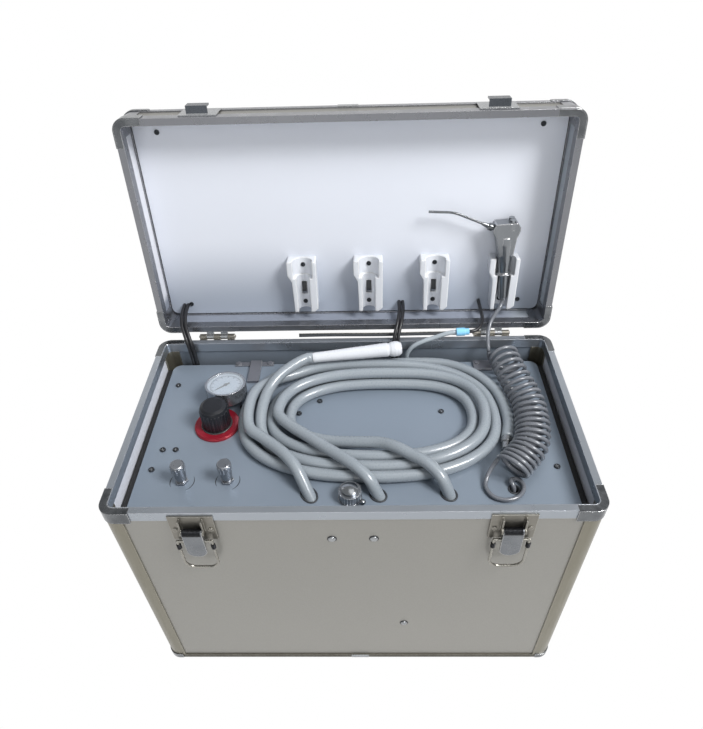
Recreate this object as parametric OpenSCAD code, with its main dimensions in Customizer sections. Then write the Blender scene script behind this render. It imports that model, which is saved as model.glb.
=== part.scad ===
// Portable dental unit in an aluminium carrying case, lid open.
// Origin: middle of the case's footprint, on the ground. +Z up, -Y is the front.

/* [Case] */
// Width of the case
case_w = 440; // [400:1:480]
// Depth of the case, front to back
case_d = 234; // [228:1:260]
// Height of the base, ground to rim
body_h = 293; // [270:1:330]
// Height of the lid
lid_h = 39.5; // [38:0.5:60]
// Radius of the upright corners
corner_r = 12; // [10:0.5:16]
// Wall depth, outer face to inner face
wall_t = 6.75; // [6.5:0.25:8.5]
// Thickness of the aluminium-faced boards
board_t = 4; // [3:0.25:5]
// How far the boards lie back from the extrusions
board_in = 1.2; // [0.8:0.1:1.8]
// Height of the edge extrusions
frame_h = 11; // [9:0.5:16]
// Radius of the extrusions' outer edge
edge_r = 5; // [3:0.5:7]
// Reach of a post along each wall from the corner
post_leg = 19; // [15:0.5:22]
// Thickness of the corner caps
cap_t = 1; // [0.8:0.1:1.6]
// Reach of the corner caps from the corner
cap_leg = 27; // [22:1:36]

/* [Lid] */
// Angle of the lid above closed, as shown
lid_open = 96.3; // [80:0.1:100]
// Gap between the lid's rim and the base's rim when closed
lid_seam = 0.5; // [0.3:0.1:1]
// Distance of the hinge axis behind the back wall
hinge_out = 6.2; // [5.5:0.1:8]
// Distance of each hinge from the side of the case
hinge_in = 63.5; // [55:0.5:100]
// Width of one hinge
hinge_w = 40; // [30:1:50]
// Diameter of the hinge pin
hinge_pin_d = 3; // [2.5:0.1:4]
// Depth of the white lining below the lid's rim
liner_depth = 30; // [28:0.5:32]
// Thickness of the lining
liner_t = 2; // [1.5:0.5:3]

/* [Control panel] */
// Depth of the control panel below the rim
panel_drop = 25; // [22:0.5:32]
// Thickness of the panel
panel_t = 2; // [1.5:0.5:3]
// Gap between the panel and the side walls
panel_side_gap = 6.25; // [3:0.25:8]
// Gap between the panel and the back wall, for the tubes
panel_back_gap = 8.25; // [5.5:0.25:10]
// Diameter of the pressure gauge
gauge_d = 43; // [40:0.5:48]
// Height of the gauge's face above the panel
gauge_h = 24; // [22:0.5:27]
// Backward tilt of the gauge
gauge_tilt = 7; // [0:1:9]
// Diameter of the regulator knob
reg_knob_d = 29.5; // [27:0.5:31]
// Height of the regulator knob's top above the panel
reg_knob_h = 30; // [26:0.5:38]
// Outer diameter of the red ring
red_ring_d = 46; // [45:0.5:47]
// Diameter of the two flow knobs at the top
flow_knob_d = 13; // [11:0.5:15]
// Height of the flow knobs' tops above the panel
flow_knob_h = 26; // [22:0.5:30]
// Diameter of the foot control coupling
coupler_d = 24; // [20:0.5:26]
// Height of the foot control coupling
coupler_h = 12; // [10:0.5:16]

/* [Holders] */
// Width of a handpiece holder
holder_w = 32; // [31:0.5:36]
// Length of a holder
holder_l = 62; // [58:0.5:66]
// How far a holder stands off the lining
holder_out = 16; // [14:0.25:17]
// Diameter of the round pocket at a holder's top
pocket_d = 22; // [20:0.5:24]
// Width of the channel below the pocket
channel_w = 14.4; // [14:0.1:16]

/* [Latches] */
// Distance of each latch from the middle
latch_x = 140; // [110:1:160]
// Width of a latch plate
latch_w = 40; // [36:1:48]
// Height of a latch plate
latch_h = 34; // [30:1:40]
// Width of a latch lever
lever_w = 18; // [16:1:22]
// Length of a latch lever below its pivot
lever_l = 34; // [28:1:40]
// Width between the legs of the wire bail
bail_w = 31; // [29:1:34]
// Length of the wire bail
bail_l = 43; // [41:0.5:44]
// Diameter of the bail's wire
wire_d = 2.6; // [2:0.1:3]

/* [Hoses] */
// Diameter of the handpiece hoses
hose_d = 11.5; // [10:0.1:11.6]
// Diameter of the curly cord's tube
curl_tube_d = 4.2; // [3.8:0.1:4.8]
// Outer diameter of the curly cord
curl_d = 31; // [28:0.5:31]
// Curls of the curly cord
curl_count = 22; // [16:1:24]

/* [Hidden] */
$fn = 48;

clear = 0.3;                       // running gap between pieces that only come close
fit = 0.05;                        // radial play of a turning fit
half_w = case_w / 2;
half_d = case_d / 2;
inner_w = half_w - wall_t;         // half width inside the walls
inner_d = half_d - wall_t;
arc_w = half_w - corner_r;         // where the corner arcs begin
arc_d = half_d - corner_r;
front = -half_d;
back = half_d;
panel_z = body_h - panel_drop;     // top of the control panel
hinge_y = back + hinge_out;
lid_z = body_h + lid_seam;         // underside of the closed lid
liner_z = lid_z + liner_depth;     // visible face of the lining, lid closed
lid_top = lid_z + lid_h;
hinge_x = half_w - hinge_in;

// --- frames and boards -------------------------------------------------------------

// Carries a 2D section round the case's plan; the section's x is the distance from
// the middle of the corner arc, so x = corner_r is the outer face.
module around(start_z = 0) {
    for (k = [0:3]) let (a = k % 2 == 0 ? arc_w : arc_d, b = k % 2 == 0 ? arc_d : arc_w)
        rotate([0, 0, 90 * k]) translate([a, b, start_z]) {
            rotate([90, 0, 0]) linear_extrude(2 * b) children();
            rotate_extrude(angle = 90) children();
        }
}

// A wall-thick section of height h with one rounded outer edge, at its foot
module edge_section(h) {
    inner = corner_r - wall_t;
    translate([inner, 0]) square([wall_t - edge_r, h]);
    translate([inner, edge_r]) square([wall_t, h - edge_r]);
    translate([corner_r - edge_r, edge_r]) intersection() {
        circle(edge_r);
        translate([0, -edge_r]) square(edge_r);
    }
}

// The groove that takes a board
module board_groove(h) {
    translate([corner_r - board_in - board_t, 0]) square([board_t, h]);
}

groove = 6;                        // depth of a groove in the extrusions
ledge_w = 8;                       // ledge that carries the floor board
ledge_t = 3;
floor_t = 4;

module base_frame() color("silver") {
    around() difference() {
        edge_section(frame_h);
        translate([0, frame_h - groove]) board_groove(groove + 1);
    }
    linear_extrude(ledge_t) difference() {
        square([2 * inner_w, 2 * inner_d], center = true);
        square([2 * (inner_w - ledge_w), 2 * (inner_d - ledge_w)], center = true);
    }
}

// Outline of a flat plate with round corners, from its half sizes
module plate_plan(x, y, r) {
    for (sx = [-1, 1], sy = [-1, 1]) translate([sx * (x - r), sy * (y - r)]) circle(r);
    square([2 * x, 2 * (y - r)], center = true);
    square([2 * (x - r), 2 * y], center = true);
}

module rim_frame() color("gainsboro") difference() {
    around(body_h - frame_h) difference() {
        translate([corner_r - wall_t, 0]) square([wall_t, frame_h]);
        translate([0, -1]) board_groove(groove + 1);
    }
    // seats of the corner caps' top lips
    translate([0, 0, body_h - cap_t]) linear_extrude(2 * cap_t) cap_plan();
}

// Plan of the wall ring within reach of the corners
module corner_plan(reach, outer = 0, inner = wall_t) {
    for (sx = [-1, 1], sy = [-1, 1]) scale([sx, sy]) difference() {
        union() {
            translate([arc_w, arc_d]) intersection() {
                circle(corner_r + outer);
                square(corner_r + outer);
            }
            translate([half_w - reach, arc_d]) square([reach - corner_r, corner_r + outer]);
            translate([arc_w, half_d - reach]) square([corner_r + outer, reach - corner_r]);
            translate([half_w - reach, half_d - reach]) square(reach - corner_r);
        }
        translate([arc_w, arc_d]) intersection() {
            circle(corner_r - inner);
            square(corner_r - inner);
        }
        translate([half_w - reach - 1, half_d - reach - 1])
            square([reach + 1 - corner_r, reach + 1 - inner]);
        translate([half_w - reach - 1, half_d - reach - 1])
            square([reach + 1 - inner, reach + 1 - corner_r]);
    }
}

cap_lip_w = wall_t - 0.75;         // width of a cap's lip on the rim
cap_h = frame_h + 3;               // height of a cap's walls
foot_cap_leg = 16;
module cap_plan() corner_plan(cap_leg, 0, cap_lip_w);

module posts(low, high) translate([0, 0, low])
    linear_extrude(high - low) difference() {
        corner_plan(post_leg);
        for (s = [-1, 1]) {
            translate([-arc_w, s * (half_d - board_in - board_t / 2) - board_t / 2])
                square([2 * arc_w, board_t]);
            translate([s * (half_w - board_in - board_t / 2) - board_t / 2, -arc_d])
                square([board_t, 2 * arc_d]);
        }
    }

module corner_posts() color("silver") posts(frame_h, body_h - frame_h);

board_low = frame_h - groove;
board_high = body_h - board_low;
fan_d = 80;                        // fan opening
fan_x = -110;
fan_z = 175;
inlet_w = 48;
inlet_h = 28;
inlet_x = 130;
inlet_z = 60;
louvre_count = 6;
louvre_w = 90;
louvre_x = 60;
louvre_z = 150;

module board(w) translate([-w, -board_t / 2, board_low])
    cube([2 * w, board_t, board_high - board_low]);

module wall_boards() color("lightgray") {
    depth_mid = half_d - board_in - board_t / 2;
    translate([0, -depth_mid, 0]) board(arc_w);
    for (s = [-1, 1]) translate([s * (half_w - board_in - board_t / 2), 0, 0])
        rotate([0, 0, 90]) board(arc_d);
    difference() {
        translate([0, depth_mid, 0]) board(arc_w);
        translate([fan_x, depth_mid - board_t, fan_z]) rotate([-90, 0, 0])
            cylinder(d = fan_d, h = 2 * board_t);
        translate([inlet_x - inlet_w / 2, depth_mid - board_t, inlet_z - inlet_h / 2])
            cube([inlet_w, 2 * board_t, inlet_h]);
        for (i = [0:louvre_count - 1])
            translate([louvre_x - louvre_w / 2, depth_mid - board_t, louvre_z + 9 * i])
                cube([louvre_w, 2 * board_t, 4]);
    }
}

plate_r = corner_r - wall_t + 2;   // corner radius of the plates between the walls
module floor_board() color("dimgray") translate([0, 0, ledge_t])
    linear_extrude(floor_t) plate_plan(inner_w - clear, inner_d - clear, plate_r);

floor_z = ledge_t + floor_t;       // top of the floor board

// The eight corner caps: bent sheet over the rim's and the ground's corners
module cap_wall(low, high, leg = cap_leg) translate([0, 0, low]) linear_extrude(high - low)
    corner_plan(leg, cap_t, 0);

module body_caps() color("dimgray") {
    cap_wall(body_h - cap_h, body_h);
    translate([0, 0, body_h - cap_t]) linear_extrude(cap_t) cap_plan();
    cap_wall(edge_r, frame_h + 2, foot_cap_leg);
}

// Front rivets and the clips that join the extrusions' ends
rivet_d = 5;
rivets = [[-18.4, -42.4], [19.4, -42.4], [51.2, -205.4]];
clip_w = 20;
clip_x = 3;
module fasteners() color("silver") {
    for (r = rivets) translate([r[0], front + board_in, body_h + r[1]])
        rotate([90, 0, 0]) cylinder(d1 = rivet_d, d2 = rivet_d - 2, h = 1.4);
    translate([clip_x - clip_w / 2, front - 0.8, edge_r]) cube([clip_w, 0.8, 6]);
    for (s = [-1, 1]) translate([s * (inner_w - panel_side_gap - 12), 0, panel_z])
        for (y = [front + 67, front + 185]) translate([0, y, 0])
            cylinder(d = 5.5, h = 1.2);
    for (p = [[-57, 140], [-36, 158], [92, 141], [-190, 92], [-177, 92], [-118, 150]])
        translate([p[0], front + p[1], panel_z]) cylinder(d = 5, h = 1);
}

// --- hinges --------------------------------------------------------------------------

knuckle_r = hinge_pin_d / 2 + 1.7;
leaf_t = 1.2;
leaf_h = 30;

// Turns closed-lid pieces to the open lid's place
module lid_pose() translate([0, hinge_y, body_h]) rotate([-lid_open, 0, 0])
    translate([0, -hinge_y, -body_h]) children();

// One leaf with the knuckles of its parity, seen with the leaf hanging below the axis
module hinge_leaf(parity, bore_d) {
    seg = hinge_w / 5;
    reach = hinge_out;
    difference() {
        union() {
            translate([-hinge_w / 2, back, -leaf_h]) cube([hinge_w, leaf_t, leaf_h - 2]);
            for (i = [0:4]) if (i % 2 == parity)
                translate([-hinge_w / 2 + seg * i + clear / 2, 0, 0]) {
                    translate([0, hinge_y, 0]) rotate([0, 90, 0])
                        cylinder(r = knuckle_r, h = seg - clear);
                    translate([0, back, -knuckle_r])
                        cube([seg - clear, reach, knuckle_r - lid_seam]);
                }
        }
        translate([-hinge_w, hinge_y, 0]) rotate([0, 90, 0])
            cylinder(d = bore_d, h = 2 * hinge_w);
    }
}

// --- latches -------------------------------------------------------------------------

plate_t = 1.2;
latch_top = body_h - 4;            // top of the latch plate
lever_z = latch_top - 18;          // lever pivot
lever_pin_d = 3;
lever_off = 5.2;                   // pivot in front of the case
lever_y = front - lever_off;
bail_z = lever_z - 12;             // bail pivot on the lever
bail_y = lever_y - 0.6;
ear_t = 1.4;

module latch_plate() {
    translate([-latch_w / 2, front - plate_t, latch_top - latch_h])
        cube([latch_w, plate_t, latch_h]);
    translate([-latch_w / 2, front - plate_t, latch_top - latch_h])
        cube([latch_w, plate_t + board_in, body_h - frame_h - latch_top + latch_h]);
    for (s = [-1, 1]) translate([s * (lever_w / 2 + clear + ear_t / 2) - ear_t / 2, 0, 0]) {
        translate([0, lever_y, lever_z - 3]) cube([ear_t, lever_off, latch_top - lever_z]);
        translate([0, lever_y, lever_z]) rotate([0, 90, 0]) cylinder(r = 3, h = ear_t);
    }
    for (s = [-1, 1]) translate([s * (latch_w / 2 - 4.2), front, lever_z - 1])
        rotate([90, 0, 0]) cylinder(d = 4.6, h = plate_t + 0.9);
    // cross pin of the lever
    translate([-lever_w / 2 - clear - ear_t, lever_y, lever_z]) rotate([0, 90, 0])
        cylinder(d = lever_pin_d, h = lever_w + 2 * clear + 2 * ear_t);
}

module body_hardware() color("lightsteelblue") {
    for (s = [-1, 1]) translate([s * latch_x, 0, 0]) latch_plate();
    for (s = [-1, 1]) translate([s * hinge_x, 0, body_h]) {
        hinge_leaf(0, hinge_pin_d);
        translate([-hinge_w / 2 - 1, hinge_y, 0]) rotate([0, 90, 0])
            cylinder(d = hinge_pin_d, h = hinge_w + 2);
    }
}

module lever() color("slategray") {
    difference() {
        union() {
            translate([-lever_w / 2, lever_y, lever_z]) rotate([0, 90, 0])
                cylinder(r = 2.9, h = lever_w);
            translate([-lever_w / 2, lever_y - 2.9, lever_z - 15]) cube([lever_w, 4.3, 15]);
            translate([-lever_w / 2, lever_y - 2.9, lever_z - lever_l + 8])
                cube([lever_w, 1.6, lever_l - 8]);
            translate([0, lever_y - 1.3, lever_z - lever_l + 8]) rotate([90, 0, 0])
                linear_extrude(1.6) scale([1, 8 / (lever_w / 2)]) circle(lever_w / 2);
        }
        translate([-lever_w, lever_y, lever_z]) rotate([0, 90, 0])
            cylinder(d = lever_pin_d + 2 * fit, h = 2 * lever_w);
        // hole that carries the bail's ends
        translate([-lever_w, bail_y, bail_z]) rotate([0, 90, 0])
            cylinder(d = wire_d + 2 * fit, h = 2 * lever_w);
    }
}
module left_lever() translate([-latch_x, 0, 0]) lever();
module right_lever() translate([latch_x, 0, 0]) lever();

bend_r = 10;                       // bends of the bail
module bail() color("gainsboro") translate([0, bail_y, bail_z]) {
    leg = bail_w / 2;
    for (s = [-1, 1]) {
        translate([s * (lever_w / 2 - 4), 0, 0]) rotate([0, s * 90, 0])
            cylinder(d = wire_d, h = leg - lever_w / 2 + 4);
        translate([s * leg, 0, 0]) sphere(d = wire_d);
        translate([s * leg, 0, -bail_l + bend_r]) cylinder(d = wire_d, h = bail_l - bend_r);
        translate([s * (leg - bend_r), 0, -bail_l + bend_r]) rotate([90, 0, 0])
            rotate([0, 0, s > 0 ? -90 : 180]) rotate_extrude(angle = 90)
                translate([bend_r, 0]) circle(d = wire_d);
    }
    translate([-leg + bend_r, 0, -bail_l]) rotate([0, 90, 0])
        cylinder(d = wire_d, h = 2 * (leg - bend_r));
}
module left_bail() translate([-latch_x, 0, 0]) bail();
module right_bail() translate([latch_x, 0, 0]) bail();

// --- control panel and its fittings -----------------------------------------------------

panel_x = inner_w - panel_side_gap;
panel_front = -inner_d + clear;
panel_back = inner_d - panel_back_gap;
panel_r = 9;

gauge_pos = [72 - panel_x, front + 163];
reg_pos = [66.4 - panel_x, front + 124.5];
water_pos = [45 - panel_x, front + 53];
air_pos = [88.5 - panel_x, front + 53.5];
coupler_pos = [-2, front + 33];
curl_hole = [149.5, front + 41];
curl_hole_d = curl_tube_d + 5;      // hole with a rubber bush
reg_bore_d = 12;
valve_bore_d = 8;
gauge_bore_d = 9;
coupler_bore_d = 14;
slant_d = (hose_d + 2 * clear) / cos(15);   // twelve-sided hole round a slanted hose

// Where each hose leaves the panel, and the way it points there
hose_exits = [[-40, front + 36.5], [24, front + 35.5], [89, front + 36]];
exit_dirs = [[-32, 47, 52], [-46, 40, 88], [-23, 27, 56]];

// Stands children at a point with their z axis along a direction
module aim(point, dir) {
    turn = atan2(dir[1], dir[0]);
    tilt = acos(dir[2] / norm(dir));
    translate(point) rotate([0, tilt, turn]) children();
}

module control_panel() color("lightslategray") difference() {
    translate([0, (panel_front + panel_back) / 2, panel_z - panel_t]) linear_extrude(panel_t)
        plate_plan(panel_x, (panel_back - panel_front) / 2, panel_r);
    for (h = [[gauge_pos, gauge_bore_d], [reg_pos, reg_bore_d], [water_pos, valve_bore_d],
              [air_pos, valve_bore_d], [coupler_pos, coupler_bore_d],
              [curl_hole, curl_hole_d]])
        translate([h[0][0], h[0][1], panel_z - 2 * panel_t]) cylinder(d = h[1], h = 3 * panel_t);
    for (i = [0:2]) aim([hose_exits[i][0], hose_exits[i][1], panel_z], exit_dirs[i])
        translate([0, 0, -20]) cylinder(d = slant_d, h = 40, $fn = 12);
}

rail_w = 14;
rail_t = 2;
rail_z = panel_z - panel_t - rail_t;
// Folded angles that carry the panel along the side walls and the front
module panel_rails() color("black") {
    for (s = [-1, 1]) {
        translate([s > 0 ? inner_w - rail_w : -inner_w, -inner_d + rail_w, rail_z])
            cube([rail_w, 2 * inner_d - 2 * rail_w, rail_t]);
        translate([s > 0 ? inner_w - rail_t : -inner_w, -inner_d + rail_w, rail_z - 16])
            cube([rail_t, 2 * inner_d - 2 * rail_w, 16]);
    }
    translate([-inner_w + plate_r, -inner_d, rail_z])
        cube([2 * (inner_w - plate_r), rail_w, rail_t]);
    translate([-inner_w + plate_r, -inner_d, rail_z - 16])
        cube([2 * (inner_w - plate_r), rail_t, 16]);
}

// Pressure gauge: pressed case with a rolled bezel, printed dial and domed lens
gauge_case_h = 15;
bezel_w = 2;
dial_t = 0.6;
dial_down = 2.4;                   // dial face below the bezel's top
lens_t = 1;
module gauge_place() translate([gauge_pos[0], gauge_pos[1], panel_z + gauge_h])
    rotate([-gauge_tilt, 0, 0]) children();

module gauge_case() {
    color("silver") gauge_place() {
        difference() {
            translate([0, 0, -gauge_case_h]) cylinder(d = gauge_d, h = gauge_case_h, $fn = 64);
            translate([0, 0, -dial_down])
                cylinder(d = gauge_d - 2 * bezel_w, h = dial_down + 1, $fn = 64);
        }
    }
    color("silver") translate([gauge_pos[0], gauge_pos[1], panel_z - 12])
        cylinder(d = gauge_bore_d, h = gauge_h - gauge_case_h + 12 + 3);
    color("silver") translate([gauge_pos[0], gauge_pos[1], panel_z])
        cylinder(d = 17, h = 3.5, $fn = 6);
    color("white") gauge_place() translate([0, 0, -dial_down - dial_t])
        cylinder(d = gauge_d - 1.2 * bezel_w, h = dial_t, $fn = 64);
}

module gauge_lens() color("lightcyan") gauge_place() translate([0, 0, -lens_t])
    cylinder(d = gauge_d - 2 * bezel_w, h = lens_t, $fn = 64);

needle_l = 13;
needle_rest = 225;                 // zero mark, lower left
module gauge_needle() color("black") gauge_place() translate([0, 0, -dial_down + 0.1])
    rotate([0, 0, needle_rest]) {
        cylinder(d = 4, h = 0.8);
        linear_extrude(0.5) polygon([[-5, -1], [0, -1.1], [needle_l, -0.25],
                                     [needle_l, 0.25], [0, 1.1], [-5, 1]]);
    }

red_ring_t = 3.4;
reg_stem_d = 8;
reg_skirt = 5;                     // height of the knob's foot above the panel
module regulator() color("dimgray") {
    translate([reg_pos[0], reg_pos[1], panel_z - 40]) cylinder(d = reg_bore_d, h = 40);
    translate([reg_pos[0], reg_pos[1], panel_z - panel_t - 38]) cylinder(d = 36, h = 38);
    translate([reg_pos[0], reg_pos[1], panel_z]) cylinder(d = red_ring_d - 14 - 2 * clear, h = 4);
    translate([reg_pos[0], reg_pos[1], panel_z]) cylinder(d = reg_stem_d, h = reg_knob_h - 6);
    translate([reg_pos[0] - 26, reg_pos[1] - 7, panel_z - 34]) cube([52, 14, 18]);
}

module red_ring() color("firebrick") translate([reg_pos[0], reg_pos[1], panel_z])
    rotate_extrude($fn = 64) {
        translate([(red_ring_d - 14) / 2, 0]) square([6, red_ring_t]);
        translate([(red_ring_d - 14) / 2, 0]) square([7, red_ring_t - 1.2]);
    }

// Moulded knob: tapered body, rolled top edge and grip ribs round the side
module regulator_knob() color("black") translate([reg_pos[0], reg_pos[1], panel_z]) {
    foot_r = reg_knob_d / 2 - 0.5;
    difference() {
        union() {
            rotate_extrude($fn = 64) polygon([[0, reg_skirt], [foot_r, reg_skirt],
                [foot_r, reg_knob_h - 4], [foot_r - 1.2, reg_knob_h - 1.2],
                [foot_r - 4, reg_knob_h], [0, reg_knob_h]]);
            for (i = [0:23]) rotate([0, 0, 15 * i]) translate([foot_r - 0.4, 0, reg_skirt])
                cylinder(d = 1.8, h = reg_knob_h - reg_skirt - 5, $fn = 13);
        }
        translate([0, 0, reg_skirt - 1])
            cylinder(d = reg_stem_d + 2 * fit, h = reg_knob_h - reg_skirt - 5 + clear);
    }
}

// Fluted flow knob, wider at its top, on a valve spindle
flow_foot_d = 10.5;
flow_foot = 6.5;                   // knob's foot above the panel
spindle_d = 4;
module flow_knob(pos) color("silver") translate([pos[0], pos[1], panel_z]) difference() {
    union() {
        rotate_extrude() polygon([[0, flow_foot], [flow_foot_d / 2, flow_foot],
            [flow_knob_d / 2, flow_knob_h - 3], [flow_knob_d / 2, flow_knob_h - 1],
            [flow_knob_d / 2 - 1, flow_knob_h], [0, flow_knob_h]]);
        for (i = [0:11]) rotate([0, 0, 30 * i])
            translate([flow_knob_d / 2 - 0.3, 0, flow_knob_h - 9]) cylinder(d = 1.4, h = 7, $fn = 13);
    }
    translate([0, 0, flow_foot - 1]) cylinder(d = spindle_d + 2 * fit, h = 11);
}
module water_knob() flow_knob(water_pos);
module air_knob() flow_knob(air_pos);

// Valve bodies, the nuts that clamp them and the collars behind the hose holes
module panel_fittings() color("whitesmoke") {
    for (p = [water_pos, air_pos]) translate([p[0], p[1], panel_z]) {
        cylinder(d = 12.5, h = 3, $fn = 6);
        translate([0, 0, -20]) cylinder(d = valve_bore_d, h = 26);
        translate([0, 0, -20]) cylinder(d = spindle_d, h = 35);
        translate([-9, -7, -24 - panel_t]) cube([18, 14, 24]);
    }
    for (i = [0:2]) intersection() {
        aim([hose_exits[i][0], hose_exits[i][1], panel_z], exit_dirs[i]) difference() {
            translate([0, 0, -start_in - 8]) cylinder(d = slant_d + 5, h = 40, $fn = 12);
            translate([0, 0, -start_in]) cylinder(d = slant_d, h = 40, $fn = 12);
        }
        translate([hose_exits[i][0] - 40, rail_w + clear - inner_d, panel_z - panel_t - 40])
            cube([80, 80, 40]);
    }
    translate([curl_hole[0], curl_hole[1], panel_z - panel_t - 14]) difference() {
        cylinder(d = curl_hole_d + 4, h = 14);
        translate([0, 0, 2]) cylinder(d = curl_hole_d, h = 14);
    }
}

// Socket for the foot control: flange, threaded neck and a knurled ring that turns on it
neck_d = 15;
module foot_coupler() color("silver") translate([coupler_pos[0], coupler_pos[1], panel_z]) {
    translate([0, 0, -18]) cylinder(d = coupler_bore_d, h = 18);
    cylinder(d = coupler_d - 2, h = 2);
    cylinder(d = neck_d, h = coupler_h + 1.5);
    translate([0, 0, coupler_h + 1.5]) intersection() {
        translate([0, 0, -neck_d + 2.5]) sphere(neck_d);
        cylinder(d = neck_d, h = 4);
    }
    translate([11.5, -10, 0]) cylinder(d = 3, h = 6);
    translate([11.5, -10, 7]) sphere(d = 6);
}

module coupler_ring() color("gainsboro") translate([coupler_pos[0], coupler_pos[1], panel_z]) {
    translate([0, 0, 2.3]) linear_extrude(coupler_h - 3) difference() {
        union() {
            circle(d = coupler_d - 4);
            for (i = [0:11]) rotate(15 * i) square([coupler_d - 3, 1.3], center = true);
        }
        circle(d = neck_d + 2 * fit);
    }
}

// Saddle that clips the tubes at the back left, and the small cover at the back right
saddle = [-112, front + 207.5];
module rear_brackets() color("gray") {
    translate([saddle[0] - 6.25, saddle[1] - 19.5, panel_z]) cube([12.5, 34, 3.5]);
    translate([saddle[0] - 24, saddle[1] + 8, panel_z]) cube([44, 6, 1.5]);
    for (x = [-20, 16]) translate([saddle[0] + x, saddle[1] + 11, panel_z]) cylinder(d = 5.5, h = 3);
    translate([135, front + 203, panel_z]) cube([20, 15, 3]);
    translate([139, front + 214, panel_z]) cylinder(d = 5.5, h = 4.4);
}

// --- inside the case -----------------------------------------------------------------------

comp_x = -95;
comp_y = 6;
mount_h = 14;
comp_l = 150;                      // length of the compressor over both heads
motor_d = 96;
head_w = 62;
foot_h = 6;
comp_z = floor_z + mount_h + foot_h;

// Oil-free compressor: motor barrel, two finned heads, end bells and its foot plate
module compressor() color("darkgray") translate([comp_x, comp_y, comp_z]) {
    axis_z = motor_d / 2 + 2;
    translate([-comp_l / 2, -42, -foot_h]) cube([comp_l, 84, foot_h]);
    translate([-comp_l / 2 + 34, 0, axis_z]) rotate([0, 90, 0])
        cylinder(d = motor_d, h = comp_l - 68);
    for (s = [-1, 1]) translate([s * (comp_l / 2 - 34), 0, axis_z]) {
        rotate([0, s * 90, 0]) cylinder(d = motor_d - 16, h = 26);
        for (i = [0:4]) translate([s * 13 - 15, -head_w / 2, 34 + 5 * i]) cube([30, head_w, 3]);
        translate([s * 13 - 12, -head_w / 2 + 4, 30]) cube([24, head_w - 8, 30]);
    }
    translate([-comp_l / 2 + 30, -30, 0]) cube([comp_l - 60, 60, 14]);
}

module rubber_mounts() color("black") for (sx = [-1, 1], sy = [-1, 1])
    translate([comp_x + sx * (comp_l / 2 - 14), comp_y + sy * 32, floor_z])
        cylinder(d = 18, h = mount_h);

tank_d = 78;
tank_l = 150;
tank_x = 75;
tank_y = 42;
tank_foot_h = 8;
// Air reservoir with domed ends on two saddles
module air_tank() color("steelblue") translate([tank_x, tank_y, floor_z]) {
    dome = 14;
    translate([0, 0, tank_foot_h + tank_d / 2]) rotate([0, 90, 0]) rotate([0, 0, 90]) {
        translate([0, 0, -tank_l / 2 + dome]) cylinder(d = tank_d, h = tank_l - 2 * dome);
        for (s = [0, 1]) mirror([0, 0, s]) translate([0, 0, tank_l / 2 - dome])
            rotate_extrude() intersection() {
                scale([1, dome / (tank_d / 2)]) circle(tank_d / 2, $fn = 64);
                square([tank_d / 2, dome]);
            }
    }
    for (s = [-1, 1]) difference() {
        translate([s * 45 - 6, -28, 0]) cube([12, 56, 26]);
        translate([s * 45 - 7, 0, tank_foot_h + tank_d / 2]) rotate([0, 90, 0])
            cylinder(d = tank_d, h = 14);
    }
}

bottle_d = 72;
bottle_h = 150;
// Clean water bottle and suction bottle, screwed into their caps, in cups on the floor
bottle_xs = [50, 140];
bottle_y = -62;
module bottles() color("lightblue") for (x = bottle_xs) translate([x, bottle_y, floor_z]) {
    rotate_extrude() polygon([[0, 3], [bottle_d / 2 - 4, 3], [bottle_d / 2, 7],
        [bottle_d / 2, bottle_h - 28], [bottle_d / 2 - 14, bottle_h - 10],
        [bottle_d / 2 - 14, bottle_h], [0, bottle_h]]);
    translate([0, 0, bottle_h]) cylinder(d = 52, h = 16);
    difference() {
        cylinder(d = bottle_d + 8, h = 24);
        translate([0, 0, 3]) cylinder(d = bottle_d + 2 * clear, h = 30);
    }
    for (s = [-1, 1]) translate([s * 12 - 3, 0, bottle_h + 16]) cylinder(d = 8, h = 12);
}

block_z = panel_z - panel_t - 52;
block = [110, 36, 22];             // manifold's length, width and height
// Manifold with its solenoid and pilot valves, hung under the panel on two brackets
module valve_block() color("goldenrod") translate([30, 0, block_z]) {
    cube(block);
    for (i = [0:3]) translate([14 + 27 * i, block[1] / 2, -18]) cylinder(d = 18, h = 18);
    for (x = [2, block[0] - 8]) translate([x, 12, block[2]]) cube([6, 12, 30]);
}

board_face = half_w - board_in - board_t;
pcb = [90, 110];                   // length and height of the circuit board
module circuit_board() color("darkgreen") translate([board_face - 6, -50, 90]) {
    cube([2, pcb[0], pcb[1]]);
    for (y = [8, pcb[0] - 12], z = [8, pcb[1] - 12]) translate([2, y, z]) rotate([0, 90, 0]) cylinder(d = 6, h = 4);
    translate([-16, 14, 60]) cube([16, 30, 28]);
    translate([-10, 52, 20]) cube([10, 24, 70]);
}

fan_t = 20;
fan_hub_d = 28;
fan_pin_d = 3;
// Fan housing inside the back board, with the wire guard's arms over its mouth
module fan_frame() color("black") translate([fan_x, back - board_in - board_t, fan_z]) {
    difference() {
        translate([-44, -fan_t, -44]) cube([88, fan_t, 88]);
        rotate([90, 0, 0]) translate([0, 0, -1]) cylinder(d = fan_d, h = fan_t + 2);
    }
    for (a = [0:60:120]) rotate([0, a, 0]) translate([-42, -fan_t, -1.5]) cube([84, 2.5, 3]);
    rotate([90, 0, 0]) translate([0, 0, fan_t - 6]) cylinder(d = fan_hub_d, h = 6);
    rotate([90, 0, 0]) translate([0, 0, 4]) cylinder(d = fan_pin_d, h = fan_t - 6);
    for (r = [14:8:38]) rotate([-90, 0, 0]) translate([0, 0, board_t]) rotate_extrude()
        translate([r, 0.6]) circle(d = 1.4);
    for (a = [45, 135]) rotate([0, a, 0]) translate([-42, board_t + 0.2, -0.8]) cube([84, 1, 1.6]);
}

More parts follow.
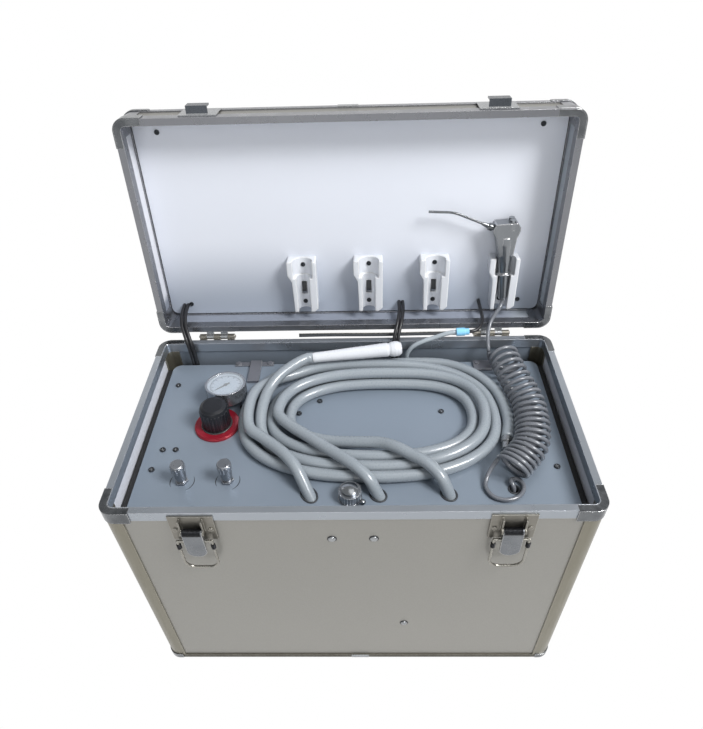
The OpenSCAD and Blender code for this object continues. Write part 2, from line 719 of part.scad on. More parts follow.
module fan_rotor() color("dimgray") translate([fan_x, back - board_in - board_t, fan_z])
    rotate([90, 0, 0]) translate([0, 0, 3]) difference() {
        union() {
            cylinder(d = fan_hub_d, h = fan_t - 9.5);
            for (i = [0:6]) rotate([0, 0, i * 360 / 7]) translate([fan_hub_d / 2 - 1, 0, 0.6])
                rotate([0, 0, 0]) translate([0, -8, 0])
                    linear_extrude(fan_t - 11, twist = 0) polygon([[0, 2], [fan_d / 2 - fan_hub_d / 2 - 1, 0],
                        [fan_d / 2 - fan_hub_d / 2 - 1, 2], [0, 5]]);
        }
        translate([0, 0, 0.5]) cylinder(d = fan_pin_d + 2 * fit, h = fan_t);
    }

switch_x = 12;                     // rocker's place on the inlet module
rocker_pin_d = 2.4;
rocker_in = 2;                     // rocker's axis behind the board's face
// Mains inlet module: flange, three-pin socket and the rocker's frame
module power_inlet() color("black") translate([inlet_x, back - board_in, inlet_z]) difference() {
    union() {
        translate([-inlet_w / 2 - 4, 0, -inlet_h / 2 - 4]) cube([inlet_w + 8, 2, inlet_h + 8]);
        translate([-inlet_w / 2, -30, -inlet_h / 2]) cube([inlet_w, 30, inlet_h]);
    }
    translate([-20, -16, -8.5]) cube([24, 20, 17]);
    translate([switch_x - 6, -12, -11]) cube([12, 20, 22]);
    translate([switch_x - 7.5, -rocker_in, 0]) rotate([0, 90, 0])
        cylinder(d = rocker_pin_d + 2 * fit, h = 15);
}

module power_rocker() color("firebrick")
    translate([inlet_x + switch_x, back - board_in - rocker_in, inlet_z]) rotate([0, 90, 0]) {
        translate([0, 0, -5.7]) linear_extrude(11.4) rotate(10)
            polygon([[-9.5, 5.5], [0, 3.6], [9.5, 5.5], [9.5, 0.5], [3, -3.5], [-3, -3.5],
                     [-9.5, 0.5]]);
        translate([0, 0, -7]) cylinder(d = rocker_pin_d, h = 14);
    }

// --- tubes ---------------------------------------------------------------------------------

function unit(v) = v / norm(v);
function tangents(p) = [for (i = [0:len(p) - 1])
    unit(p[min(i + 1, len(p) - 1)] - p[max(i - 1, 0)])];
// Carries one side vector along the path without letting it turn about the path
function carry(t, u, i = 0, out = []) = i == len(t) ? out :
    let (v = unit(u - (u * t[i]) * t[i])) carry(t, v, i + 1, concat(out, [v]));
function side_of(t) = abs(t[2]) < 0.8 ? [0, 0, 1] : [1, 0, 0];

// A round tube along the points p, as one closed skin of triangles
module tube(p, d, sides = 8) {
    t = tangents(p);
    u = carry(t, side_of(t[0]));
    n = len(p);
    points = [for (i = [0:n - 1], k = [0:sides - 1]) let (a = 360 * k / sides)
        p[i] + d / 2 * (cos(a) * u[i] + sin(a) * cross(t[i], u[i]))];
    walls = [for (i = [0:n - 2], k = [0:sides - 1]) let (a = i * sides + k,
        b = i * sides + (k + 1) % sides) each [[a, a + sides, b + sides], [a, b + sides, b]]];
    caps = [for (k = [1:sides - 2]) each [[0, k, k + 1],
        [(n - 1) * sides, (n - 1) * sides + k + 1, (n - 1) * sides + k]]];
    polyhedron(points, concat(walls, caps));
}

// Least distance between two places on a tube that are more than skip points apart
function least_gap(p, d, skip) = min([for (i = [0:len(p) - 1])
    for (j = [i + skip:1:len(p) - 1]) norm(p[i] - p[j])]) - d;

// The pile of hoses: a squared oval whose half axes differ to each side, wound
// clockwise. A key is [turns from the front, distance out from the inmost oval, height].
pile_x = 26;
pile_y = front + 130.5;
left_a = 99;
right_a = 86;
front_b = 42.5;
back_b = 52.5;
squareness = 0.84;
low = hose_d / 2 + clear;          // height of the lower layer above the panel
high = low + hose_d + 0.5;         // height of a hose that lies on another
nest = high - 1.6;                 // height of a hose in the groove between two others

function ease(s) = s * s * (3 - 2 * s);
function key_at(keys, t, i = 0) = i >= len(keys) - 2 || t <= keys[i + 1][0] ?
    let (s = ease(max(0, min(1, (t - keys[i][0]) / (keys[i + 1][0] - keys[i][0])))))
    keys[i] + s * (keys[i + 1] - keys[i]) : key_at(keys, t, i + 1);
function bulge(v) = sign(v) * pow(abs(v), squareness);
function oval(t, out, z) = let (s = bulge(sin(360 * t)), c = bulge(cos(360 * t))) [
    pile_x - (s > 0 ? left_a + out : right_a + out) * s,
    pile_y - (c > 0 ? front_b + out : back_b + out) * c, panel_z + z];
function loops(keys, per_turn) = let (t0 = keys[0][0], t1 = keys[len(keys) - 1][0],
    n = round((t1 - t0) * per_turn)) [for (i = [0:n]) let (t = t0 + (t1 - t0) * i / n,
    k = key_at(keys, t)) oval(t, k[1], k[2])];

// Points of the straight run through the panel's slanted hole
function run_out(i, from, to) = [for (s = [from, to])
    concat(hose_exits[i], panel_z) + s * unit(exit_dirs[i])];
function rel(p) = [p[0], front + p[1], panel_z + p[2]];
function rel_all(p) = [for (q = p) rel(q)];

turbine_keys = [[0.205, 33.5, high], [0.28, 33.5, high], [0.38, 22, 13.6],
    [0.52, 17.5, 14.2], [0.75, 32.6, low], [0.86, 33.6, low], [1, 36, low],
    [1.25, 39.5, low], [1.36, 38, low], [1.5, 28, low], [1.63, 42, low],
    [1.75, 45.6, low], [1.8, 45.2, low]];
suction_keys = [[0.235, 2.8, nest], [0.26, 2.4, nest], [0.3, 1.8, 15.6], [0.5, 1.2, nest],
    [0.75, 21.8, 13.8], [0.86, 22.4, 10.6], [1, 23.4, low], [1.16, 24.8, low],
    [1.27, 19.5, high], [1.33, 19.5, 25.5], [1.375, 22, 27.5]];
motor_keys = [[0.03, -3, 10], [0.08, -5, low], [0.25, -8, low], [0.5, -5, low],
    [0.75, 10.8, low], [1, 10.8, low], [1.25, 11, low], [1.5, 7.5, low]];

start_in = 18;                     // hose below the panel, along its slanted hole
turbine_lead = concat(run_out(0, -start_in, 9), rel_all([[-52, 54.5, 17],
    [-62, 67, 19.6], [-75, 80.5, 18.6], [-89, 92.5, 18.2]]));
suction_lead = concat(run_out(1, -start_in, 9), rel_all([[15, 43.5, 15.5],
    [5, 52.5, 19.5], [-8, 63.5, 20], [-23, 76, 18.6], [-38, 88.5, 18], [-51, 99, 17.5],
    [-63, 109, 17]]));
motor_lead = concat(run_out(2, -start_in, 9), rel_all([[80.5, 46, 16], [69.5, 57, 20],
    [56, 67.5, 19.2], [41, 78, 18.7], [26, 86.5, 15]]));
suction_tail = rel_all([[-51, 196.6, 27.86], [-44, 197.5, 28]]);

turbine_path = concat(turbine_lead, loops(turbine_keys, 24));
suction_path = concat(suction_lead, loops(suction_keys, 24), suction_tail);
motor_path = concat(motor_lead, loops(motor_keys, 24));

module turbine_hose() color("lightsteelblue") tube(turbine_path, hose_d);
module suction_hose() color("lightsteelblue") tube(suction_path, hose_d);
module motor_hose() color("lightsteelblue") tube(motor_path, hose_d);

// Metal four-hole couplings on the ends of the two handpiece hoses
coupling_l = 15;
module coupling(path) {
    n = len(path) - 1;
    way = path[n] - path[n - 1];
    aim(path[n], way) {
        cylinder(d = hose_d - 0.6, h = 6);
        translate([0, 0, 6]) cylinder(d = 9, h = coupling_l - 6);
    }
}
module hose_connectors() color("silver") {
    coupling(turbine_path);
    coupling(motor_path);
}

// Suction handle: tapered barrel, ball collar and tip socket
handle_from = suction_path[len(suction_path) - 1];
handle_to = rel([46, 208.5, 29.8]);
handle_l = norm(handle_to - handle_from);
module suction_handle() color("white") aim(handle_from, handle_to - handle_from)
    rotate_extrude() polygon([[0, 0], [5.2, 0], [5.6, 3], [5.6, 8], [7.6, handle_l - 14],
        [7.8, handle_l - 9], [6.9, handle_l - 7], [8, handle_l - 4.5], [8.6, handle_l],
        [8, handle_l + 4], [6, handle_l + 7], [0, handle_l + 7]]);

// Curly cord: a helix round a line that lies on the panel, then one flat loop
curl_r = (curl_d - curl_tube_d) / 2;
curl_side = curl_r + 1.8;          // the coils lie a little flat
curl_z = curl_d / 2 + clear;
curl_lean = 4.5;                   // tops of the coils lean to the cord's lower end
curl_line = [[166, 214], [169.5, 190], [174.5, 164], [179, 141], [178.5, 119], [176, 99],
    [169.5, 80], [158.5, 65.5], [147.5, 54]];
curl_steps = 8;

function on_line(p, s) = let (n = len(p) - 1, x = s * n, i = min(floor(x), n - 1), f = x - i,
    b = p[i], c = p[i + 1], a = i > 0 ? p[i - 1] : 2 * b - c,
    d = i < n - 1 ? p[i + 2] : 2 * c - b)
    0.5 * ((2 * b) + (c - a) * f + (2 * a - 5 * b + 4 * c - d) * f * f
    + (3 * b - a - 3 * c + d) * f * f * f);
function helix_point(s, phase) = let (c = on_line(curl_line, s),
    way = unit(on_line(curl_line, min(1, s + 0.01)) - on_line(curl_line, max(0, s - 0.01))),
    side = [-way[1], way[0]],
    lean = curl_lean * min(1, 5 * s) * sin(phase))
    rel([c[0] + curl_side * cos(phase) * side[0] + lean * way[0],
         c[1] + curl_side * cos(phase) * side[1] + lean * way[1],
         curl_z + curl_r * sin(phase)]);
function helix(per_turn) = let (n = (curl_count - 0.25) * per_turn)
    [for (i = [0:n]) helix_point(i / n, 270 + 360 * i / per_turn)];

curl_start = [rel([150, 211, 22]), rel([150.8, 211.7, 15]), rel([154, 212.2, 7]),
    rel([160, 212.6, 3])];
curl_end = [rel([128, 55.5, 8]), rel([124, 47.5, 3.4]), rel([123.6, 40, 2.6]),
    rel([128.5, 31.5, 2.6]), rel([138.5, 27.6, 2.6]), rel([149.5, 30, 2.6]), rel([156.6, 37, 2.6]),
    rel([158.2, 44.5, 2.6]), rel([155, 50, 2.6]), rel([149.9, 50.8, 3.2]), rel([146.9, 47.6, 4.2]),
    rel([147.6, 44.4, 4.4]), rel([149, 42.2, 2]), rel([149.5, 41, -3]), rel([149.5, 41, -8]),
    rel([149.5, 41, -13.5])];
function curly_path(per_turn) = concat(curl_start, helix(per_turn), curl_end);

module curly_cord() color("slategray") tube(curly_path(curl_steps), curl_tube_d, 6);

// Straight stretch from the syringe down to the curly cord
syringe_tail = [[168.4, 262.4, 57.51], [168.81, 261.75, 51.56], [165.5, 256.3, 47],
    [160, 248, 45.5], [154.5, 239.5, 42.3], [150.7, 230, 36.5], [149.2, 219.5, 30.2],
    [149, 212.8, 27], [149.2, 211, 24.6], [149.82, 211, 22.6]];
module syringe_hose() color("slategray") tube(rel_all(syringe_tail), curl_tube_d, 8);

// Air and water lines between the case and the lid: two pairs of black tubes that run
// down behind the panel, and the light one with the coupling
line_d = 4;
left_line = [[-195, 273, 47], [-195, 262, 46.8], [-194, 250, 45.5], [-192, 239, 42],
    [-188, 229.5, 35], [-185, 224, 27], [-183.5, 221.9, 16], [-183, 221.8, 2],
    [-183, 221.8, -14]];
mid_line = [[55, 273, 47], [55, 262, 46.8], [54, 250, 45.5], [52, 239, 42],
    [49, 229.5, 35], [47.5, 224, 27], [46.5, 221.9, 16], [46.5, 221.8, 2], [46.5, 221.8, -14]];
light_line = [[60, 221, -10], [60, 221, 4], [61.5, 220.8, 14], [67, 220.5, 23],
    [77, 220, 30], [90, 219.5, 36], [101, 219, 41.2], [109.5, 218.75, 43.87], [113, 218.8, 44]];
link_line = [[127, 219, 44.5], [130.5, 219.05, 44.63], [136, 221.5, 45], [141, 228, 46.5], [144, 240, 47.5],
    [144, 256, 48], [144, 272, 48]];

function shifted(p, dx) = [for (q = p) rel([q[0] + dx, q[1], q[2]])];
module hinge_tubes() {
    color("black") for (p = [left_line, mid_line], s = [-1, 1])
        tube(shifted(p, s * (line_d / 2 + 0.1)), line_d, 6);
    color("lightgray") tube(rel_all(light_line), 5, 8);
    color("black") tube(rel_all(link_line), line_d, 6);
}

module blue_coupling() color("lightskyblue") aim(rel(light_line[len(light_line) - 1]), [14, 0.2, 0.5])
    rotate_extrude() polygon([[0, 0], [4.2, 0], [4.5, 1], [4.5, 9], [3.6, 10], [3.6, 14], [0, 14]]);

echo(str("least gap of turbine hose ", least_gap(loops(turbine_keys, 60), hose_d, 30)));
echo(str("least gap of suction hose ", least_gap(loops(suction_keys, 60), hose_d, 30)));
echo(str("least gap of motor hose ", least_gap(loops(motor_keys, 60), hose_d, 30)));
echo(str("least gap of curly cord ", least_gap(curly_path(16), curl_tube_d, 9)));

// --- lid, drawn closed and turned open ---------------------------------------------------------

module lid_frame() color("silver") lid_pose() {
    around(lid_z) difference() {
        translate([corner_r - wall_t, 0]) square([wall_t, frame_h]);
        translate([0, frame_h - groove]) board_groove(groove + 1);
    }
    translate([0, 0, lid_top]) mirror([0, 0, 1]) around() difference() {
        edge_section(frame_h);
        translate([0, frame_h - groove]) board_groove(groove + 1);
    }
    posts(lid_z + frame_h, lid_top - frame_h);
}

module lid_boards() color("lightgray") lid_pose() {
    low_z = lid_z + frame_h - groove;
    high_z = lid_top - frame_h + groove;
    for (s = [-1, 1]) {
        translate([-arc_w, s * (half_d - board_in - board_t / 2) - board_t / 2, low_z])
            cube([2 * arc_w, board_t, high_z - low_z]);
        translate([s * (half_w - board_in - board_t / 2) - board_t / 2, -arc_d, low_z])
            cube([board_t, 2 * arc_d, high_z - low_z]);
    }
    translate([0, 0, lid_top - board_in - board_t]) linear_extrude(board_t)
        plate_plan(inner_w, inner_d, plate_r);
}

module lid_caps() color("dimgray") lid_pose() {
    cap_wall(lid_z, lid_z + frame_h);
    cap_wall(lid_top - frame_h + 1, lid_top - edge_r);
}

liner_gap = 0.5;
liner_r = 8;
module lid_liner() color("white") lid_pose() translate([0, 0, liner_z]) {
    linear_extrude(liner_t) plate_plan(inner_w - liner_gap, inner_d - liner_gap, liner_r);
    // spacers that hold the lining off the lid's top board
    for (sx = [-1, 1], sy = [-1, 1]) translate([sx * 189, sy * 97, liner_t])
        cylinder(d = 10, h = lid_top - board_in - board_t - liner_z - liner_t);
}

// Local frame on the lining: x to the right, y towards the lid's front, z out of the lining
holder_y = front + 186.7;
module on_liner(x) lid_pose() translate([x, holder_y, liner_z]) rotate([180, 0, 0]) children();

holder_xs = [-55.6, 17.5, 90.4, 166];
channel_x = 0.8;                   // middle of the channel from the holder's middle
holder_floor = 2.5;
channel_floor = 3.2;
neck_y = 11;                       // where the pocket ends and the channel begins
switch_y = -6;                     // middle of the switch slot
slot_w = 6;
slot_l = 16;

// Moulded holder: a round pocket that narrows to an open channel between two arms
module holder() difference() {
    h = holder_l / 2;
    w = holder_w / 2;
    linear_extrude(holder_out) polygon([[-w, h - 1], [-w + 1, h], [w - 1, h], [w, h - 1],
        [w, -h + 4], [w - 4, -h], [-w + 5.5, -h], [-w + 4.5, neck_y - 4], [-w, neck_y + 4]]);
    // pocket, channel and their mouths
    translate([channel_x, h + 1, holder_floor + pocket_d / 2]) rotate([90, 0, 0])
        linear_extrude(h + 1 - neck_y) {
            circle(d = pocket_d);
            translate([-pocket_d / 2 + 1.2, 0]) square([pocket_d - 2.4, pocket_d]);
        }
    translate([channel_x, h + 1, channel_floor + channel_w / 2]) rotate([90, 0, 0])
        linear_extrude(2 * h + 2) {
            circle(d = channel_w);
            translate([-channel_w / 2, 0]) square([channel_w, pocket_d]);
        }
    // switch slot and screw holes in the floor
    translate([channel_x - slot_w / 2, switch_y - slot_l / 2, -1]) cube([slot_w, slot_l, 8]);
    for (y = [22.5, -23.5]) translate([channel_x, y, -1]) cylinder(d = 3.2, h = 8);
}

module handpiece_holders() color("white") for (x = holder_xs) on_liner(x) holder();

lever_bar = 12;
// Sprung lever of the holder's air switch, in the slot of the holder's floor
module switch_lever(x) color("dimgray") on_liner(x) translate([channel_x, switch_y, 0])
    difference() {
        translate([-slot_w / 2 + clear, 0, 0]) rotate([90, 0, 90])
            linear_extrude(slot_w - 2 * clear) polygon([[7, 0.4], [7, 1.9], [-2, 4.6],
                [-4, 4.6], [-5, 3.9], [-5, 2.4], [4.8, 0.4]]);
        translate([-slot_w, 5.4, 1.2]) rotate([0, 90, 0]) cylinder(d = 1, h = 2 * slot_w);
    }
module switch_lever_1() switch_lever(holder_xs[0]);
module switch_lever_2() switch_lever(holder_xs[1]);
module switch_lever_3() switch_lever(holder_xs[2]);

keeper_w = 36;
hook_w = 20;
handle_x = 66;                     // handle bracket from the middle
handle_pin_d = 4;
handle_z = lid_top + 9;            // handle pivot, lid closed
handle_reach = 34;
grip_d = 15;

// Steel pieces riveted to the lid: bail keepers, hinge leaves, handle brackets and the
// clip on the joint of the front extrusion
module lid_hardware() color("lightsteelblue") lid_pose() {
    for (s = [-1, 1]) translate([s * latch_x, 0, 0]) {
        translate([-keeper_w / 2, front - plate_t, lid_z + 4]) cube([keeper_w, plate_t, 26]);
        translate([-hook_w / 2, front - plate_t - 8, lid_z + 5]) cube([hook_w, 8, 2]);
        translate([-hook_w / 2, front - plate_t - 8, lid_z + 5]) cube([hook_w, 1.6, 11]);
    }
    for (s = [-1, 1]) translate([s * hinge_x, 0, body_h]) mirror([0, 0, 1])
        hinge_leaf(1, hinge_pin_d + 2 * fit);
    translate([-clip_w / 2, front - 0.8, lid_top - edge_r - 6]) cube([clip_w, 0.8, 6]);
    for (s = [-1, 1]) translate([s * handle_x, 0, 0]) difference() {
        union() {
            translate([-8, -16, lid_top - board_in]) cube([16, 32, board_in + 1.6]);
            translate([-4 * s - 2.5, -7, lid_top]) cube([5, 14, handle_z - lid_top]);
            translate([-4 * s - 2.5, 0, handle_z]) rotate([0, 90, 0]) cylinder(d = 14, h = 5);
        }
        translate([-20, 0, handle_z]) rotate([0, 90, 0]) cylinder(d = handle_pin_d, h = 40);
    }
    for (s = [-1, 1]) translate([s * (handle_x - 4) - 6, 0, handle_z]) rotate([0, 90, 0])
        cylinder(d = handle_pin_d, h = 12);
}

hang = lid_open - 90;              // the handle hangs straight down behind the open lid
// Carrying handle: two arms and a padded grip, drawn hanging from its pins
module lid_handle() color("black") lid_pose() translate([0, 0, handle_z])
    rotate([hang, 0, 0]) {
        arm_x = handle_x - 4 - 2.5 - clear;
        for (s = [-1, 1]) difference() {
            union() {
                translate([s > 0 ? arm_x - 4 : -arm_x, 0, 0]) rotate([0, 90, 0])
                    cylinder(d = 11, h = 4);
                translate([s > 0 ? arm_x - 4 : -arm_x, 0, -5.5])
                    cube([4, handle_reach, 11]);
            }
            translate([-2 * arm_x, 0, 0]) rotate([0, 90, 0])
                cylinder(d = handle_pin_d + 2 * fit, h = 4 * arm_x);
        }
        translate([-arm_x, handle_reach, 0]) rotate([0, 90, 0])
            cylinder(d = grip_d, h = 2 * arm_x);
        for (i = [-4:4]) translate([i * 11 - 3, handle_reach, 0]) rotate([0, 90, 0])
            cylinder(d = grip_d + 1, h = 6);
    }

// --- three-way syringe in the right-hand holder ------------------------------------------------

syr_z = 12;                        // axis above the lining
syr_low = -18.8;                   // lower end in the holder's frame
syr_top = 72.3;                    // top of the head
syr_lean = 3.9;                    // lean to the left in the holder
lean_y = 4.7;                      // where its axis meets the middle of the channel
head_half = 14;
head_dp = 15;
module in_holder() on_liner(holder_xs[3]) translate([channel_x, lean_y, syr_z])
    rotate([0, 0, syr_lean]) translate([0, -lean_y, 0]) children();

button_d = 6;
button_out = 3;
button_x = 6.4;
button_z = 3.7;
nozzle_y = syr_top - 5.5;
nozzle_rise = 26.8;                // the nozzle points up to the left by this angle
nozzle_run = 44.5;
tip_rise = 6.8;
tip_run = 26.8;
nozzle_bore_d = 5;
module nozzle_place() in_holder() translate([-head_half, nozzle_y, 0])
    rotate([0, 0, -nozzle_rise]) rotate([0, -90, 0]) children();

// Barrel turned with its collar, and the flat head that flares out at the top
module syringe_body() color("slategray") difference() {
    in_holder() {
        rotate([-90, 0, 0]) rotate_extrude() polygon([[0, syr_low], [4.2, syr_low],
            [5, syr_low + 1.5], [5.4, syr_low + 12], [6, neck_y], [6, neck_y + 0.9],
            [7.9, neck_y + 1], [7.9, neck_y + 2.6], [6.4, neck_y + 3.4], [6.4, neck_y + 5],
            [8, syr_top - 44], [8.5, syr_top - 24], [8.2, syr_top - 16], [0, syr_top - 16]]);
        translate([0, 0, -head_dp / 2]) linear_extrude(head_dp) polygon([
            [-7.6, syr_top - 36], [7.6, syr_top - 36], [9.5, syr_top - 24],
            [10.5, syr_top - 17], [head_half, syr_top - 9], [head_half, syr_top - 5],
            [11, syr_top], [-11, syr_top], [-head_half, syr_top - 5],
            [-head_half, syr_top - 9], [-10.5, syr_top - 17], [-9.5, syr_top - 24]]);
    }
    for (s = [-1, 1]) in_holder() translate([button_x, syr_top + 1, s * button_z])
        rotate([90, 0, 0]) cylinder(d = button_d + 2 * clear, h = 9);
    nozzle_place() translate([0, 0, -8]) cylinder(d = nozzle_bore_d + 2 * fit, h = 10);
}

module push_button(s) color("silver") in_holder()
    translate([button_x, syr_top + button_out, s * button_z]) rotate([90, 0, 0])
        cylinder(d = button_d, h = button_out + 5);
module air_button() push_button(-1);
module water_button() push_button(1);

// Removable nozzle: nut, taper and the bent tip, which turns in the head
function way_at(rise) = [-cos(rise), sin(rise), 0];
nozzle_corner = nozzle_run * way_at(nozzle_rise);
nozzle_from = nozzle_corner - 6 * way_at(nozzle_rise);
nozzle_to = nozzle_corner + 6 * way_at(tip_rise);
module syringe_nozzle() color("silver") {
    nozzle_place() rotate_extrude() polygon([[0, -7], [nozzle_bore_d / 2, -7],
        [nozzle_bore_d / 2, 0.3], [4, 0.3], [4, 4], [2.6, 5.5], [2.2, 9], [1.8, 12], [0, 12]]);
    in_holder() translate([-head_half, nozzle_y, 0]) tube(concat(
        [for (s = [11.5, 20, 28]) s * way_at(nozzle_rise)],
        [for (t = [0:0.25:1]) (1 - t) * (1 - t) * nozzle_from
            + 2 * t * (1 - t) * nozzle_corner + t * t * nozzle_to],
        [for (s = [13, tip_run]) nozzle_corner + s * way_at(tip_rise)]), 2.8, 8);
}

wall_boards();
floor_board();
corner_posts();
base_frame();
rim_frame();
body_caps();
fasteners();
body_hardware();
control_panel();
panel_rails();
gauge_case();
gauge_lens();
regulator();
red_ring();
panel_fittings();
foot_coupler();
rear_brackets();
compressor();
rubber_mounts();
air_tank();
bottles();
valve_block();
circuit_board();
fan_frame();
power_inlet();
turbine_hose();
suction_hose();
motor_hose();
hose_connectors();
suction_handle();
curly_cord();
syringe_hose();
hinge_tubes();
blue_coupling();
lid_frame();
lid_boards();
lid_caps();
lid_liner();
handpiece_holders();
lid_hardware();
lid_handle();
left_lever();
right_lever();
left_bail();
right_bail();
regulator_knob();
water_knob();
air_knob();
gauge_needle();
coupler_ring();
syringe_body();
syringe_nozzle();
air_button();
water_button();
switch_lever_1();
switch_lever_2();
switch_lever_3();
power_rocker();
fan_rotor();
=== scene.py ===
from math import radians, sin, cos, pi, sqrt
import bpy
import numpy as np
from mathutils import Matrix, Vector


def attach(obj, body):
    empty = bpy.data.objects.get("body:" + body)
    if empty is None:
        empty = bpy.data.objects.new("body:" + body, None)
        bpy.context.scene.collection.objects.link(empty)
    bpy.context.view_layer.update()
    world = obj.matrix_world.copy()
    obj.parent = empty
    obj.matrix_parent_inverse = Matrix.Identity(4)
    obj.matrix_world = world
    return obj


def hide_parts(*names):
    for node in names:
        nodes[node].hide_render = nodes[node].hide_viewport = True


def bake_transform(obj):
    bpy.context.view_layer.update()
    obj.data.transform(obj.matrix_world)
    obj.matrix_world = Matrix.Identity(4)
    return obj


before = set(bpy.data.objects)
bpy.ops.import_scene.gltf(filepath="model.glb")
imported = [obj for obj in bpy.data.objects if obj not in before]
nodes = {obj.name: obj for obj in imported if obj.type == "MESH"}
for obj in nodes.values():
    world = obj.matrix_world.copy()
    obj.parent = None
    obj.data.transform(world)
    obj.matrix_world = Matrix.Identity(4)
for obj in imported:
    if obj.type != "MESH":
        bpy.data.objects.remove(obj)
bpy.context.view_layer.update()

# --- camera -------------------------------------------------------------------
# The place and turn of the camera were solved from the corners of the case and lid.
camera_data = bpy.data.cameras.new("camera")
camera_data.lens = 30.17
camera_data.sensor_width = 36
camera_data.clip_end = 20
camera = bpy.data.objects.new("camera", camera_data)
camera.location = (0.015546, -0.421065, 0.733839)
yaw, pitch, roll = 0.0351, -0.7293, 0.036
turn = (Matrix.Rotation(yaw, 3, "Z") @ Matrix.Rotation(pitch, 3, "X")
        @ Matrix.Rotation(roll, 3, "Y"))
# Blender looks along -Z with +Y up, and the solved frame along +Y with +Z up
camera.rotation_euler = (turn @ Matrix.Rotation(radians(90), 3, "X")).to_euler()
bpy.context.scene.collection.objects.link(camera)
bpy.context.scene.camera = camera
bpy.context.scene.view_settings.view_transform = "Standard"


# --- studio -------------------------------------------------------------------
# Pale floor that runs up into a white backdrop, three soft lamps and an even sky.
def feed(tree, made, feeds):
    """Gives each named input of a node its value, or links it to the socket that drives it."""
    for key, value in feeds.items():
        if isinstance(value, bpy.types.NodeSocket):
            tree.links.new(value, made.inputs[key])
        else:
            made.inputs[key].default_value = value


def new_node(tree, kind, feeds=(), **settings):
    """A shader node with its own properties set and its inputs fed."""
    made = tree.nodes.new("ShaderNode" + kind)
    for key, value in settings.items():
        setattr(made, key, value)
    feed(tree, made, dict(feeds))
    return made


def maths(tree, operation, first, second=0.5):
    """The result of one Math node fed by sockets or numbers. An operation on one value leaves
    the second out of use."""
    return new_node(tree, "Math", {0: first, 1: second}, operation=operation).outputs[0]


def new_material(name):
    """A node material with its tree and its Principled shader."""
    made = bpy.data.materials.new(name)
    made.use_nodes = True
    return made, made.node_tree, made.node_tree.nodes["Principled BSDF"]


floor_mat, tree, shader = new_material("studio_floor")
feed(tree, shader, {"Base Color": (0.86, 0.86, 0.86, 1), "Roughness": 0.9})
# the camera and the mirroring metals see the backdrop as pure white
white = new_node(tree, "Emission", {"Color": (1, 1, 1, 1)})
ray = new_node(tree, "LightPath").outputs
either = maths(tree, "MAXIMUM", ray["Is Camera Ray"], ray["Is Glossy Ray"])
mix = new_node(tree, "MixShader", {0: either, 1: shader.outputs[0], 2: white.outputs[0]})
feed(tree, tree.nodes["Material Output"], {"Surface": mix.outputs[0]})


def grids_mesh(name, grids, closed_u=False, closed_v=True, smooth=True):
    """One object from several arrays of points[u][v]: each cell of a grid becomes one face. A
    closed direction joins its last row to its first. Where v alone is closed, one face shuts
    each end."""
    points, faces, start = [], [], 0
    for grid in grids:
        rows, cols = grid.shape[:2]
        at = np.arange(rows * cols).reshape(rows, cols) + start
        near = np.concatenate([at, at[:, :1]], 1) if closed_v else at
        near = np.concatenate([near, near[:1]]) if closed_u else near
        faces += np.stack([near[:-1, :-1], near[:-1, 1:], near[1:, 1:], near[1:, :-1]],
                          -1).reshape(-1, 4).tolist()
        if closed_v and not closed_u:
            faces += [at[0, ::-1].tolist(), at[-1].tolist()]
        points.append(grid.reshape(-1, 3))
        start += rows * cols
    mesh = bpy.data.meshes.new(name)
    mesh.from_pydata(np.concatenate(points).tolist(), [], faces)
    mesh.polygons.foreach_set("use_smooth", [smooth] * len(faces))
    mesh.update()
    piece = bpy.data.objects.new(name, mesh)
    bpy.context.scene.collection.objects.link(piece)
    return piece


# the backdrop's section: flat floor, a quarter circle of 1 m, then straight up; it lies just
# below the feet, and the same section stands at both ends
arc = np.linspace(0, pi / 2, 16)
section = np.concatenate([[[-5.0, 0.0]], np.stack([3 + np.sin(arc), 1 - np.cos(arc)], 1),
                          [[4.0, 5.0]]])
floor_drop, half_width = 0.0004, 6.0
sweep = np.stack([np.stack([np.full(len(section), x), section[:, 0],
                            section[:, 1] - floor_drop], 1) for x in (-half_width, half_width)])
backdrop = grids_mesh("studio_backdrop", [sweep], closed_v=False)
backdrop.data.materials.append(floor_mat)


def area_lamp(name, place, aim, size, watts):
    """A square soft lamp at a place, turned so that it shines at a point."""
    data = bpy.data.lights.new(name, "AREA")
    data.size = size
    data.energy = watts
    lamp = bpy.data.objects.new(name, data)
    lamp.location = place
    lamp.rotation_euler = (Vector(aim) - Vector(place)).to_track_quat("-Z", "Y").to_euler()
    bpy.context.scene.collection.objects.link(lamp)


area_lamp("key_lamp", (1.35, -0.75, 2.1), (0, 0.05, 0.3), size=0.8, watts=62)
area_lamp("fill_lamp", (-0.3, -2.2, 1.2), (0, 0, 0.3), size=1.6, watts=10)
area_lamp("top_lamp", (0.5, 0.1, 2.5), (0, 0, 0.25), size=1.4, watts=7)
world = bpy.data.worlds.new("studio")
bpy.context.scene.world = world
world.use_nodes = True
sky = world.node_tree.nodes["Background"]
feed(world.node_tree, sky, {"Color": (0.96, 0.98, 1.0, 1), "Strength": 0.36})

